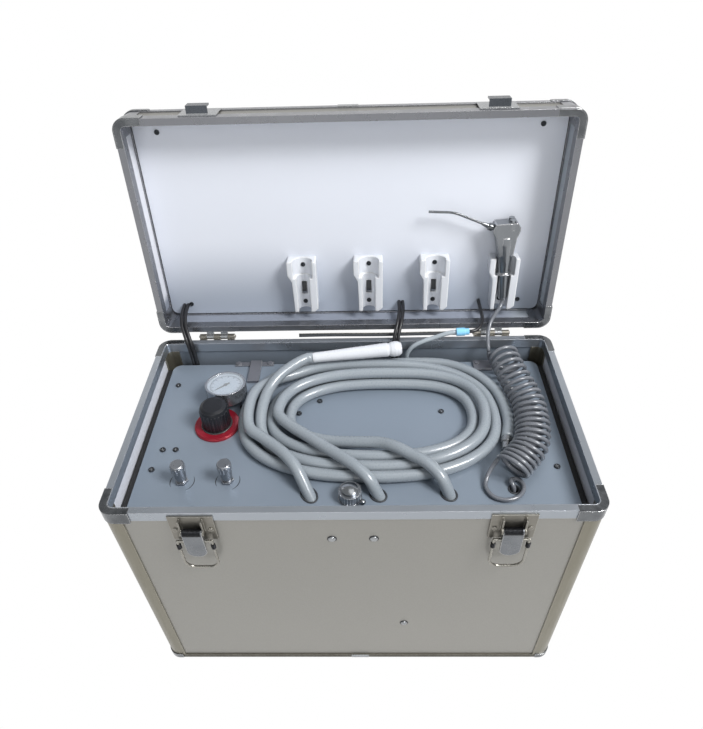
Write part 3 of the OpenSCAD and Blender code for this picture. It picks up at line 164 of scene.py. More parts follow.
# --- surface detail -----------------------------------------------------------
# What every finish shares: fine grain, slow uneven colour and brightened edges, for wear and
# as painted highlights.
def detail_group():
    """Shared surface detail on Object coordinates. Fine is a noise stretched by its own scale
    along each axis, Broad a slow noise for uneven colour, the edge output is high where the
    surface bends sharply, for edge wear and for painted highlights, and Normal is the surface's
    own with its sharp edges rounded."""
    group = bpy.data.node_groups.new("surface_detail", "ShaderNodeTree")
    for name, way, kind in (("Fine Scale", "INPUT", "Vector"), ("Broad Scale", "INPUT", "Float"),
                            ("Edge Radius", "INPUT", "Float"), ("Fine", "OUTPUT", "Float"),
                            ("Broad", "OUTPUT", "Float"), ("Wear And Glint", "OUTPUT", "Float"),
                            ("Normal", "OUTPUT", "Vector")):
        group.interface.new_socket(name, in_out=way, socket_type="NodeSocket" + kind)
    given = group.nodes.new("NodeGroupInput").outputs
    place = new_node(group, "TexCoord").outputs["Object"]
    stretch = new_node(group, "VectorMath", {0: place, 1: given["Fine Scale"]},
                       operation="MULTIPLY")
    fine = new_node(group, "TexNoise", {"Vector": stretch.outputs[0], "Scale": 1, "Detail": 3})
    broad = new_node(group, "TexNoise", {"Vector": place, "Scale": given["Broad Scale"],
                                         "Detail": 2})
    bevel = new_node(group, "Bevel", {"Radius": given["Edge Radius"]}, samples=4)
    face = new_node(group, "NewGeometry").outputs["Normal"]
    along = new_node(group, "VectorMath", {0: bevel.outputs[0], 1: face},
                     operation="DOT_PRODUCT")
    # a cosine of 0.995 between the two normals is no wear, and 0.85 is full wear
    wear_and_glint = new_node(group, "MapRange", {"Value": along.outputs["Value"], "From Min": 0.995,
                                        "From Max": 0.85})
    feed(group, group.nodes.new("NodeGroupOutput"),
         {"Fine": fine.outputs["Fac"], "Broad": broad.outputs["Fac"], "Wear And Glint": wear_and_glint.outputs[0],
          "Normal": bevel.outputs[0]})
    return group


surface_detail = detail_group()


def mixed(tree, share, first, second):
    """Two colours mixed by a share: each is a socket, or red, green and blue."""
    ends = [c if isinstance(c, bpy.types.NodeSocket) else (*c, 1) for c in (first, second)]
    return new_node(tree, "Mix", {0: share, 6: ends[0], 7: ends[1]},
                    data_type="RGBA").outputs[2]


def finish(name, colour, other, wear_and_glint, rough, metallic=0.0, fine=400, broad=6.0, edge=0.0005,
           bump=0.1, coat=0.0):
    """A material that mixes two shades by the broad noise, brightens its edges for wear and as
    painted highlights, varies its roughness with the fine noise and bumps with it. Fine is one
    scale, or one for each axis."""
    made, tree, shader = new_material(name)
    scales = np.broadcast_to(np.array(fine, float), 3).tolist()
    detail = new_node(tree, "Group", {"Fine Scale": scales, "Broad Scale": broad,
                                      "Edge Radius": edge}, node_tree=surface_detail).outputs
    shades = mixed(tree, detail["Broad"], colour, other)
    # the noise lies mostly between 0.3 and 0.7
    roughness = new_node(tree, "MapRange", {"Value": detail["Fine"], "From Min": 0.3,
                                            "From Max": 0.7, "To Min": rough[0],
                                            "To Max": rough[1]})
    raised = new_node(tree, "Bump", {"Strength": bump, "Distance": 0.0003,
                                     "Height": detail["Fine"], "Normal": detail["Normal"]})
    feed(tree, shader, {"Base Color": mixed(tree, detail["Wear And Glint"], shades, wear_and_glint),
                        "Roughness": roughness.outputs[0], "Normal": raised.outputs[0],
                        "Metallic": metallic, "Coat Weight": coat})
    return made


def dress(material, *names):
    """Gives CAD nodes one material on all their faces."""
    for name in names:
        mesh = nodes[name].data
        mesh.materials.clear()
        mesh.materials.append(material)


# --- hoses --------------------------------------------------------------------
# Three silicone handpiece hoses. Each leaves a slanted hole in the panel, crosses the
# pile and lies in it on a squared oval, in a lower and an upper layer.
front = -0.117
panel_z = 0.268


def rel(points):
    """Points given in millimetres from the case's front, in x, depth and height above the
    panel, as metres in the shared frame."""
    p = np.array(points, float) / 1000
    return p + np.array([0, front, panel_z])


def lengthened(line):
    """A line with one more point at each end, as far on as its last piece is long."""
    return np.concatenate([[2 * line[0] - line[1]], line, [2 * line[-1] - line[-2]]])


def between(a, b, c, d, t):
    """A Catmull-Rom curve at the share t from b to c, with a before them and d after them."""
    return 0.5 * (2 * b + (c - a) * t + (2 * a - 5 * b + 4 * c - d) * t**2
                  + (3 * b - a - 3 * c + d) * t**3)


def run_along(line):
    """The distance run along a line at each of its points."""
    return np.concatenate([[0], np.cumsum(np.linalg.norm(np.diff(line, axis=0), axis=1))])


def smooth_line(points, step):
    """A Catmull-Rom curve through the points, first cut in 12 between each two of them, then
    evenly so that each piece is about one step long."""
    p = lengthened(np.array(points, float))
    t = np.linspace(0, 1, 12, endpoint=False)[:, None, None]
    q = between(p[:-3], p[1:-2], p[2:-1], p[3:], t)
    fine = np.concatenate([q.transpose(1, 0, 2).reshape(-1, 3), [p[-2]]])
    run = run_along(fine)
    count = max(4, int(round(run[-1] / step)))
    even = np.linspace(0, run[-1], count + 1)
    return np.stack([np.interp(even, run, fine[:, k]) for k in range(3)], 1)


def frames_along(line):
    """Two side directions at each point of a line, carried along it without twist: each is the
    one before it less its share along the line."""
    way = np.gradient(line, axis=0)
    way /= np.linalg.norm(way, axis=1)[:, None]
    side = np.empty_like(way)
    first = np.array([0, 0, 1.0]) if abs(way[0, 2]) < 0.8 else np.array([1.0, 0, 0])
    for i, w in enumerate(way):
        first = first - first @ w * w
        first /= np.linalg.norm(first)
        side[i] = first
    return side, np.cross(way, side)


def angles(count):
    """Angles spaced evenly round one turn."""
    return np.linspace(0, 2 * pi, count, endpoint=False)


def round_skin(line, radius, sides):
    """Rings round a line: each point is the line's own plus the radius times the cosine and
    sine of the angle along the two side directions."""
    side, other = frames_along(line)
    a = angles(sides)[:, None]
    return line[:, None] + (side[:, None] * np.cos(a) + other[:, None] * np.sin(a)) * radius


def hose_mesh(name, line, radius, sides=20):
    """A round skin along a line, closed at both ends. Its own UV runs in metres."""
    hose = grids_mesh(name, [round_skin(line, radius, sides)])
    uv = np.stack(np.broadcast_arrays(run_along(line)[:, None], angles(sides) * radius), -1)
    corners = [loop.vertex_index for loop in hose.data.loops]
    layer = hose.data.uv_layers.new(name="along")
    layer.data.foreach_set("uv", uv.reshape(-1, 2)[corners].ravel())
    return hose


hose_d = 0.0115
# heights of a hose's middle over the panel: in the lower layer, in the upper one, and in the
# groove between two hoses
low = 5.75 + 0.3
high = low + 11.5 + 0.5
nest = high - 1.6
exits = [[-40, 36.5], [24, 35.5], [89, 36]]
exit_dirs = [[-32, 47, 52], [-46, 40, 88], [-23, 27, 56]]


def ease(s):
    """Smooth step: three times the square less twice the cube."""
    return s * s * (3 - 2 * s)


def pile_line(keys):
    """Points on a squared oval, 24 to a turn, that widens and climbs by its keys: [turns from
    the front, distance out from the inmost oval, height]. Each side has its own half axis, and
    the sine and cosine are taken to the power 0.84, which squares the oval."""
    mid_x, mid_y = 26, 130.5
    half_left, half_right, half_front, half_back = 99, 86, 42.5, 52.5
    keys = np.array(keys, float)
    count = int(round((keys[-1, 0] - keys[0, 0]) * 24))
    t = np.linspace(keys[0, 0], keys[-1, 0], count + 1)
    i = np.clip(np.searchsorted(keys[:, 0], t) - 1, 0, len(keys) - 2)
    s = ease(np.clip((t - keys[i, 0]) / (keys[i + 1, 0] - keys[i, 0]), 0, 1))
    out = keys[i, 1] + s * (keys[i + 1, 1] - keys[i, 1])
    z = keys[i, 2] + s * (keys[i + 1, 2] - keys[i, 2])
    sn, cs = np.sin(2 * pi * t), np.cos(2 * pi * t)
    sn = np.sign(sn) * np.abs(sn) ** 0.84
    cs = np.sign(cs) * np.abs(cs) ** 0.84
    return np.stack([mid_x - np.where(sn > 0, half_left + out, half_right + out) * sn,
                     mid_y - np.where(cs > 0, half_front + out, half_back + out) * cs, z], 1)


def run_out(i):
    """The straight run through panel hole i, from 18 mm below to 9 mm above along its slant."""
    way = np.array(exit_dirs[i], float)
    way /= np.linalg.norm(way)
    return [list(np.array(exits[i] + [0.0]) + s * way) for s in (-18, 9)]


turbine_line = run_out(0) + [[-52, 54.5, 17], [-62, 67, 19.6], [-75, 80.5, 18.6],
                             [-89, 92.5, 18.2]]
turbine_line = np.concatenate([turbine_line, pile_line(
    [[0.205, 33.5, high], [0.28, 33.5, high], [0.38, 22, 13.6], [0.52, 17.5, 14.2],
     [0.75, 32.6, low], [0.86, 33.6, low], [1, 36, low], [1.25, 39.5, low], [1.36, 38, low],
     [1.5, 28, low], [1.63, 42, low], [1.75, 45.6, low], [1.8, 45.2, low]])])
suction_line = run_out(1) + [[15, 43.5, 15.5], [5, 52.5, 19.5], [-8, 63.5, 20],
                             [-23, 76, 18.6], [-38, 88.5, 18], [-51, 99, 17.5],
                             [-63, 109, 17]]
suction_line = np.concatenate([suction_line, pile_line(
    [[0.235, 2.8, nest], [0.26, 2.4, nest], [0.3, 1.8, 15.6], [0.5, 1.2, nest],
     [0.75, 21.8, 13.8], [0.86, 22.4, 10.6], [1, 23.4, low], [1.16, 24.8, low],
     [1.27, 19.5, high], [1.33, 19.5, 25.5], [1.375, 22, 27.5]]),
    [[-51, 196.6, 27.86], [-44, 197.5, 28]]])
motor_line = run_out(2) + [[80.5, 46, 16], [69.5, 57, 20], [56, 67.5, 19.2],
                           [41, 78, 18.7], [26, 86.5, 15]]
motor_line = np.concatenate([motor_line, pile_line(
    [[0.03, -3, 10], [0.08, -5, low], [0.25, -8, low], [0.5, -5, low], [0.75, 10.8, low],
     [1, 10.8, low], [1.25, 11, low], [1.5, 7.5, low]])])

hose_mat = finish("grey_silicone", (0.225, 0.255, 0.285), (0.3, 0.335, 0.365), (0.42, 0.45, 0.48),
                  rough=(0.24, 0.36), fine=700, broad=14, edge=0.0004, bump=0.05, coat=0.35)


for name, line in (("turbine_hose", turbine_line), ("suction_hose", suction_line),
                   ("motor_hose", motor_line)):
    line = smooth_line(rel(line), step=0.005)
    hose = hose_mesh(name + "_skin", line, hose_d / 2)
    hose.data.materials.append(hose_mat)
    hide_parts(name)
    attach(hose, "case")

# --- curly cord ---------------------------------------------------------------
# Polyurethane cord of the syringe, wound on a mandrel. It lies on the panel in a curve,
# and its last turn lies flat before it goes back through the panel.
curl_tube_d = 0.0042
curl_count = 22
curl_lean = 4.5
curl_r = 13.4
curl_side = 15.2
curl_z = 15.8
curl_hole = [149.5, 41]
curl_line = np.array([[166, 214], [169.5, 190], [174.5, 164], [179, 141], [178.5, 119],
                      [176, 99], [169.5, 80], [158.5, 65.5], [147.5, 54]], float)


def helix():
    """A flat circle carried along a smooth centreline, square to it, one turn for each curl and
    16 points to a turn: across the line by curl_side times the cosine of the phase, up by
    curl_r times its sine, and on along the line by curl_lean times its sine, so that the tops
    lean forward. It starts at its lowest point and ends a quarter of a turn early."""
    per_turn = 16
    p = lengthened(curl_line)
    count = int(round((curl_count - 0.25) * per_turn))
    x = np.linspace(0, len(curl_line) - 1, count + 1)
    i = np.minimum(x.astype(int), len(curl_line) - 2)
    mid = between(p[i], p[i + 1], p[i + 2], p[i + 3], (x - i)[:, None])
    way = np.gradient(mid, axis=0)
    way /= np.linalg.norm(way, axis=1)[:, None]
    phase = np.radians(270 + 360 * np.arange(count + 1) / per_turn)[:, None]
    side = np.stack([-way[:, 1], way[:, 0]], 1)
    # the lean grows over the first fifth of the line
    lean = curl_lean * np.minimum(1, 5 * x / x[-1])[:, None] * np.sin(phase)
    flat = mid + curl_side * np.cos(phase) * side + lean * way
    return np.concatenate([flat, curl_z + curl_r * np.sin(phase)], 1)


curly_points = np.concatenate([
    [[150, 211, 22], [150.8, 211.7, 15], [154, 212.2, 7], [160, 212.6, 3]],
    helix(),
    [[128, 55.5, 8], [124, 47.5, 3.4], [123.6, 40, 2.6], [128.5, 31.5, 2.6],
     [138.5, 27.6, 2.6], [149.5, 30, 2.6], [156.6, 37, 2.6], [158.2, 44.5, 2.6],
     [155, 50, 2.6], [149.9, 50.8, 3.2], [146.9, 47.6, 4.2], [147.6, 44.4, 4.4],
     [149, 42.2, 2], [*curl_hole, -3], [*curl_hole, -8], [*curl_hole, -13.5]]])
curly_way = smooth_line(rel(curly_points), step=0.0022)
curly = hose_mesh("curly_cord_skin", curly_way, curl_tube_d / 2, 12)
cord_mat = finish("grey_polyurethane", (0.125, 0.135, 0.155), (0.17, 0.18, 0.2),
                  (0.3, 0.31, 0.33), rough=(0.2, 0.32), fine=900, broad=25, edge=0.0002, bump=0.04,
                  coat=0.5)
curly.data.materials.append(cord_mat)
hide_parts("curly_cord")
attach(curly, "case")

# The straight stretch of the same cord, from the syringe down to the first curl. It bends
# between the case and the lid.
tail_points = [[168.4, 262.4, 57.51], [168.81, 261.75, 51.56], [165.5, 256.3, 47],
               [160, 248, 45.5], [154.5, 239.5, 42.3], [150.7, 230, 36.5], [149.2, 219.5, 30.2],
               [149, 212.8, 27], [149.2, 211, 24.6], [149.82, 211, 22.6]]
tail_way = smooth_line(rel(tail_points), step=0.003)
tail = hose_mesh("syringe_hose_skin", tail_way, curl_tube_d / 2, 12)
tail.data.materials.append(cord_mat)
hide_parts("syringe_hose")
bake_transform(tail)

# --- tubes that cross the hinge -----------------------------------------------
# Black air and water lines run from holes behind the panel into the lid; a thin light tube
# carries a light-blue push coupling.
line_mat = finish("black_tube", (0.01, 0.01, 0.012), (0.018, 0.018, 0.02), (0.05, 0.05, 0.05),
                  rough=(0.3, 0.45), fine=900, broad=30, edge=0.0002, bump=0.05)
pale_mat = finish("pale_tube", (0.36, 0.41, 0.45), (0.44, 0.49, 0.52), (0.6, 0.63, 0.65),
                  rough=(0.2, 0.3), fine=900, broad=30, edge=0.0002, bump=0.03, coat=0.3)
left_line = [[-195, 273, 47], [-195, 262, 46.8], [-194, 250, 45.5], [-192, 239, 42],
             [-188, 229.5, 35], [-185, 224, 27], [-183.5, 221.9, 16], [-183, 221.8, 2],
             [-183, 221.8, -14]]
mid_line = [[55, 273, 47], [55, 262, 46.8], [54, 250, 45.5], [52, 239, 42], [49, 229.5, 35],
            [47.5, 224, 27], [46.5, 221.9, 16], [46.5, 221.8, 2], [46.5, 221.8, -14]]
link_line = [[127, 219, 44.5], [130.5, 219.05, 44.63], [136, 221.5, 45], [141, 228, 46.5],
             [144, 240, 47.5], [144, 256, 48], [144, 272, 48]]
light_line = [[60, 221, -10], [60, 221, 4], [61.5, 220.8, 14], [67, 220.5, 23], [77, 220, 30],
              [90, 219.5, 36], [101, 219, 41.2], [109.5, 218.75, 43.87], [113, 218.8, 44]]
# each tube's line, its shift to the side within its pair, and its diameter in millimetres
crossing = {"left_tube_a": (left_line, -2.1, 4), "left_tube_b": (left_line, 2.1, 4),
            "mid_tube_a": (mid_line, -2.1, 4), "mid_tube_b": (mid_line, 2.1, 4),
            "link_tube": (link_line[::-1], 0, 4), "pale_tube": (light_line, 0, 5)}
for name, (points, shift, d) in crossing.items():
    way = smooth_line(rel(np.array(points) + [shift, 0, 0]), step=0.003)
    tube = hose_mesh(name, way, d / 2000, 12)
    tube.data.materials.append(pale_mat if name == "pale_tube" else line_mat)
    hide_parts("hinge_tubes")
    if name == "pale_tube":
        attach(tube, "case")
    else:
        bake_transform(tube)

# --- aluminium boards ---------------------------------------------------------
# Plywood faced with thin aluminium sheet, satin and slightly pebbled, slid into the grooves
# of the extrusions.
sheet_shades = ((0.29, 0.285, 0.265), (0.34, 0.33, 0.305))
sheet_mat = finish("satin_aluminium_sheet", *sheet_shades, (0.6, 0.6, 0.58), rough=(0.36, 0.5),
                   metallic=0.75, fine=900, broad=3, edge=0.0002, bump=0.12)


def object_axes(tree):
    """The three coordinates of a surface point in its piece's own frame."""
    place = new_node(tree, "TexCoord").outputs["Object"]
    return new_node(tree, "SeparateXYZ", {0: place}).outputs


def paint_over(tree, share, colour):
    """Puts a further colour over a finish, as strongly as the share."""
    socket = tree.nodes["Principled BSDF"].inputs["Base Color"]
    tree.links.new(mixed(tree, share, socket.links[0].from_socket, colour), socket)


def metal_by(tree, share, start, end):
    """Lets the metallic value run from start to end as the share goes from 0 to 1."""
    metal = new_node(tree, "MapRange", {"Value": share, "To Min": start, "To Max": end})
    feed(tree, tree.nodes["Principled BSDF"], {"Metallic": metal.outputs[0]})


# the inner faces carry a pale laminate, and the back board a dark painted shade: they are known
# by their distance from the middle of the case
tree = sheet_mat.node_tree
axes = object_axes(tree)
in_x, in_y, clear_of_back_shade = [
    maths(tree, "LESS_THAN", maths(tree, "ABSOLUTE", axes[axis]), limit)
    for axis, limit in ((0, 0.2168), (1, 0.1138), (1, 0.104))]
inside = maths(tree, "MULTIPLY", in_x, in_y)
paint_over(tree, inside, mixed(tree, clear_of_back_shade, (0.17, 0.2, 0.24), (0.66, 0.68, 0.74)))
metal_by(tree, inside, 0.75, 0.0)
dress(sheet_mat, "wall_boards")
lid_board_mat = finish("lid_board_sheet", (0.74, 0.75, 0.8), (0.8, 0.8, 0.84),
                       (0.85, 0.85, 0.88), rough=(0.4, 0.5), metallic=0.1, fine=900, broad=3,
                       edge=0.0002)


def paint_shade_along(material, axis, start, end, tint):
    """Blends a finish towards a tint as the Object coordinate on one axis runs from start to
    end: a painted shade that deepens that way."""
    tree = material.node_tree
    share = new_node(tree, "MapRange", {"Value": object_axes(tree)[axis], "From Min": start,
                                        "From Max": end}, interpolation_type="SMOOTHSTEP")
    paint_over(tree, share.outputs[0], tint)


# the side boards by the hinge, at the right and at the top are painted greyer than the left one,
# as painted shade
paint_shade_along(lid_board_mat, 2, start=0.335, end=0.322, tint=(0.26, 0.285, 0.34))
paint_shade_along(lid_board_mat, 0, start=0.17, end=0.2, tint=(0.42, 0.46, 0.5))
paint_shade_along(lid_board_mat, 2, start=0.51, end=0.522, tint=(0.5, 0.53, 0.6))
# a face is an outer one where its normal points away from the middle of the lid's hollow
lid_mid = (0, 0.165, 0.41)
tree = lid_board_mat.node_tree
place = new_node(tree, "TexCoord").outputs
from_mid = new_node(tree, "VectorMath", {0: place["Object"], 1: lid_mid}, operation="SUBTRACT")
away = new_node(tree, "VectorMath", {0: from_mid.outputs[0], 1: place["Normal"]},
                operation="DOT_PRODUCT")
outer = maths(tree, "GREATER_THAN", away.outputs["Value"], 0)
detail = next(node for node in tree.nodes if node.type == "GROUP").outputs
paint_over(tree, outer, mixed(tree, detail["Broad"], *sheet_shades))
metal_by(tree, outer, 0.1, 0.75)
dress(lid_board_mat, "lid_boards")

# --- edge extrusions and posts ------------------------------------------------
# Anodised aluminium profile, drawn along its length, mitred under the corner caps.
# the rim's blue tint is a painted reflection over the profile's own grey
dress(finish("anodised_extrusion", (0.33, 0.358, 0.395), (0.4, 0.428, 0.465), (0.72, 0.74, 0.78),
             rough=(0.26, 0.34), metallic=0.8, fine=60, bump=0.02), "rim_frame")
dress(finish("lid_extrusion", (0.21, 0.215, 0.235), (0.27, 0.275, 0.29), (0.62, 0.62, 0.64),
             rough=(0.24, 0.34), metallic=0.85, fine=60, broad=8, edge=0.0006, bump=0.02),
      "lid_frame")
dress(finish("bare_extrusion", (0.2, 0.187, 0.145), (0.25, 0.233, 0.185), (0.5, 0.48, 0.41),
             rough=(0.3, 0.42), metallic=0.75, fine=(300, 300, 30), broad=4, edge=0.0006,
             bump=0.06), "corner_posts")
# the bottom frame is coloured far darker than the other profiles
dress(finish("darkest_extrusion", (0.055, 0.05, 0.036), (0.1, 0.092, 0.07), (0.4, 0.38, 0.32),
             rough=(0.4, 0.6), metallic=0.5, fine=(500, 500, 120), broad=9, edge=0.0006),
      "base_frame")

# --- corner caps --------------------------------------------------------------
# Pressed steel caps, plated and a little hammered, over each corner.
cap_mat = finish("plated_cap", (0.05, 0.055, 0.062), (0.27, 0.28, 0.29), (0.75, 0.75, 0.76),
                 rough=(0.16, 0.3), metallic=0.95, fine=220, broad=55, edge=0.0007, bump=0.2)
dress(cap_mat, "body_caps", "lid_caps")

# --- latches, hinges, keepers, fasteners --------------------------------------
# Nickel-plated steel strip, riveted through the boards.
steel_mat = finish("nickel_plate", (0.4, 0.41, 0.42), (0.3, 0.31, 0.32), (0.8, 0.8, 0.8),
                   rough=(0.2, 0.36), metallic=0.95, fine=350, broad=20, edge=0.0004, bump=0.08)
dress(steel_mat, "hose_connectors")
dress(finish("dull_nickel", (0.27, 0.255, 0.225), (0.2, 0.19, 0.165), (0.7, 0.68, 0.62),
             rough=(0.28, 0.45), metallic=0.9, fine=350, broad=60, bump=0.12), "body_hardware")
# on the lid the same steel, with the hooks of the bail keepers blackened
hook_z = 0.5335
lid_steel = steel_mat.copy()
lid_steel.name = "nickel_and_black"
tree = lid_steel.node_tree
paint_over(tree, maths(tree, "GREATER_THAN", object_axes(tree)[2], hook_z), (0.1, 0.11, 0.125))
dress(lid_steel, "lid_hardware")
dress(finish("grey_plated_lever", (0.15, 0.16, 0.175), (0.24, 0.25, 0.265), (0.75, 0.75, 0.75),
             rough=(0.22, 0.4), metallic=0.9, fine=300, broad=60, edge=0.0009, bump=0.15),
      "left_lever", "right_lever")
wire_mat = finish("plated_wire", (0.36, 0.35, 0.32), (0.26, 0.25, 0.22), (0.6, 0.6, 0.58),
                  rough=(0.2, 0.34), metallic=0.95, fine=300, broad=60, edge=0.0002, bump=0.08)
dress(wire_mat, "left_bail", "right_bail")

# --- control panel ------------------------------------------------------------
# Folded steel sheet with a fine grey-blue powder coat, on black angles.
dress(finish("powder_coat", (0.2, 0.245, 0.3), (0.265, 0.31, 0.37), (0.4, 0.44, 0.48),
             rough=(0.34, 0.46), metallic=0.3, fine=(90, 1400, 1400), broad=7, edge=0.0003,
             bump=0.14), "control_panel")
dress(finish("black_steel", (0.012, 0.012, 0.013), (0.02, 0.02, 0.02), (0.06, 0.06, 0.06),
             rough=(0.45, 0.6), metallic=0.2, fine=500, broad=10, edge=0.0004), "panel_rails")
dress(finish("grey_strap", (0.15, 0.155, 0.18), (0.21, 0.215, 0.24), (0.5, 0.5, 0.5),
             rough=(0.35, 0.5), metallic=0.4, fine=500, broad=10, edge=0.0004), "rear_brackets")

# --- gauge --------------------------------------------------------------------
# Pressed steel case with a rolled bezel, a glass front and a black needle. The glass is thin
# enough for its Alpha to do: the dial shows through it.
dress(finish("pressed_bezel", (0.42, 0.44, 0.47), (0.34, 0.36, 0.39), (0.9, 0.9, 0.9),
             rough=(0.2, 0.3), metallic=0.9, fine=80, broad=15, bump=0.02), "gauge_case")
lens_mat = finish("gauge_glass", (0.8, 0.86, 0.9), (0.88, 0.92, 0.95), (0.95, 0.97, 0.98),
                  rough=(0.02, 0.08), fine=90, broad=40, edge=0.0003, bump=0.02)
feed(lens_mat.node_tree, lens_mat.node_tree.nodes["Principled BSDF"], {"Alpha": 0.16})
dress(lens_mat, "gauge_lens")
dress(finish("needle_paint", (0.01, 0.01, 0.012), (0.015, 0.015, 0.015), (0.05, 0.05, 0.05),
             rough=(0.4, 0.5)), "gauge_needle")

# --- regulator and valves -----------------------------------------------------
# Moulded black knob over a red ring; fluted knobs of turned steel on plated nuts.
dress(finish("black_moulding", (0.005, 0.006, 0.009), (0.009, 0.01, 0.014), (0.08, 0.08, 0.085),
             rough=(0.3, 0.42), fine=800, broad=30, bump=0.08), "regulator_knob", "fan_frame",
      "fan_rotor", "power_inlet", "lid_handle")
dress(finish("dark_casting", (0.05, 0.052, 0.055), (0.08, 0.08, 0.085), (0.3, 0.3, 0.3),
             rough=(0.4, 0.55), metallic=0.6, fine=500, broad=30, edge=0.0006, bump=0.3),
      "regulator", "floor_board", "compressor")
dress(finish("red_ring_paint", (0.25, 0.008, 0.022), (0.33, 0.014, 0.03), (0.6, 0.12, 0.14),
             rough=(0.28, 0.4), metallic=0.3, fine=500, broad=30, edge=0.0004, bump=0.05),
      "red_ring", "power_rocker")
dress(finish("turned_steel", (0.22, 0.235, 0.26), (0.3, 0.315, 0.34), (0.75, 0.76, 0.78),
             rough=(0.25, 0.42), metallic=0.9, fine=(300, 300, 900), broad=60, edge=0.0006,
             bump=0.12), "water_knob", "air_knob", "coupler_ring", "panel_fittings")
dress(finish("bright_chrome", (0.36, 0.375, 0.39), (0.28, 0.295, 0.31), (0.9, 0.9, 0.9),
             rough=(0.12, 0.25), metallic=1, fine=300, broad=60, edge=0.0004, bump=0.08),
      "foot_coupler", "air_button", "water_button", "fasteners")
dress(finish("drawn_steel_pipe", (0.17, 0.18, 0.19), (0.24, 0.25, 0.26), (0.7, 0.7, 0.7),
             rough=(0.2, 0.3), metallic=0.95, fine=80, broad=40, edge=0.0002, bump=0.02),
      "syringe_nozzle")
dress(finish("white_moulding", (0.62, 0.64, 0.68), (0.7, 0.72, 0.75), (0.9, 0.9, 0.9),
             rough=(0.25, 0.35), fine=600, broad=10, edge=0.001, bump=0.04, coat=0.2),
      "suction_handle")
dress(finish("holder_moulding", (0.64, 0.66, 0.7), (0.71, 0.73, 0.77), (0.98, 0.98, 0.98),
             rough=(0.3, 0.42), fine=600, broad=12, edge=0.0022, bump=0.04, coat=0.15),
      "handpiece_holders")
dress(finish("light_blue_plastic", (0.22, 0.58, 0.88), (0.28, 0.63, 0.9), (0.6, 0.8, 0.95),
             rough=(0.2, 0.3), fine=500, broad=10, bump=0.03, coat=0.3), "blue_coupling")

# --- lid lining and switches --------------------------------------------------
# White laminated board, screwed through spacers; sprung levers under the handpieces.
liner_mat = finish("white_lining", (0.7, 0.73, 0.8), (0.76, 0.78, 0.84), (0.85, 0.86, 0.88),
                   rough=(0.4, 0.5), fine=900, broad=3, edge=0.0006, bump=0.05)
# the lining is painted darker towards its bottom edge: a painted shade
paint_shade_along(liner_mat, 2, start=0.4, end=0.31, tint=(0.36, 0.4, 0.47))
dress(liner_mat, "lid_liner")
dress(finish("switch_moulding", (0.012, 0.013, 0.016), (0.03, 0.032, 0.038), (0.35, 0.37, 0.4),
             rough=(0.3, 0.45), metallic=0.1, fine=500, broad=250, edge=0.0008), "switch_lever_1",
      "switch_lever_2", "switch_lever_3")

# --- syringe ------------------------------------------------------------------
# Grey anodised body whose bright edges are painted highlights. Its nozzle and its two
# buttons have the pipe and the chrome of the section above.
dress(finish("anodised_syringe", (0.21, 0.222, 0.237), (0.3, 0.315, 0.33), (0.95, 0.95, 0.96),
             rough=(0.16, 0.26), metallic=0.95, fine=(80, 80, 40), broad=30, edge=0.0018,
             bump=0.03), "syringe_body")

# --- inside the case ----------------------------------------------------------
# Compressor, tank, bottles, valves and board, seen through the slots and gaps only.
dress(finish("black_rubber", (0.01, 0.01, 0.01), (0.02, 0.02, 0.02), (0.04, 0.04, 0.04),
             rough=(0.6, 0.75)), "rubber_mounts")
dress(finish("tank_paint", (0.6, 0.62, 0.64), (0.66, 0.68, 0.7), (0.8, 0.8, 0.8),
             rough=(0.25, 0.4), fine=300, broad=10, edge=0.001, bump=0.15, coat=0.2), "air_tank")
dress(finish("bottle_plastic", (0.55, 0.68, 0.74), (0.6, 0.72, 0.78), (0.8, 0.85, 0.9),
             rough=(0.15, 0.25), fine=200, broad=10, edge=0.0008, bump=0.03, coat=0.3), "bottles")
dress(finish("bare_brass", (0.55, 0.38, 0.12), (0.62, 0.44, 0.16), (0.8, 0.65, 0.35),
             rough=(0.25, 0.4), metallic=1, broad=30, edge=0.0006), "valve_block")
dress(finish("green_laminate", (0.01, 0.1, 0.035), (0.015, 0.14, 0.05), (0.3, 0.35, 0.2),
             rough=(0.25, 0.35), fine=900, broad=60, edge=0.0004, bump=0.2), "circuit_board")

# --- screws -------------------------------------------------------------------
# Dark cross-head screws: they hold the panel on its angles, the lining on its spacers and the
# holders on the lining.
def square_to(up):
    """A direction made a unit long, with two unit directions square to it."""
    up = np.array(up, float) / np.linalg.norm(up)
    first = np.cross(up, [0, 1, 0.3])
    first /= np.linalg.norm(first)
    return up, first, np.cross(up, first)


def turned_rings(centre, up, profile, sides):
    """Rings about an axis: each point is the centre plus its radius times the cosine and sine
    along two sides, plus its height along the axis. The profile is (radius, height) pairs."""
    up, first, other = square_to(up)
    a = angles(sides)[:, None]
    ring = first * np.cos(a) + other * np.sin(a)
    return np.stack([np.array(centre) + r * ring + h * up for r, h in profile])


def screw_rings(centre, up, radius, height):
    """A cheese head: a turned rim, then a slightly domed top that falls by the square of the
    distance, cut by a cross whose depth is a smooth step of the distance from its two arms."""
    rim = [(radius, 0), (radius, 0.6 * height), (0.94 * radius, 0.92 * height)]
    top = [(radius * k, height) for k in np.linspace(0.88, 0.02, 14)]
    rings = turned_rings(centre, up, rim + top, 48)
    up, first, other = square_to(up)
    flat = rings - np.array(centre)
    x, y = flat @ first, flat @ other
    far = np.hypot(x, y)
    arm = np.minimum(np.abs(x + 0.3 * y), np.abs(y - 0.3 * x)) / radius
    cut = np.clip((0.2 - arm) / 0.08, 0, 1) * (far < 0.62 * radius)
    drop = 0.1 * height * (far / radius) ** 2 + 0.55 * height * cut
    drop[:3] = 0
    return rings - drop[..., None] * up


hinge_y, hinge_z = 123.2, 293


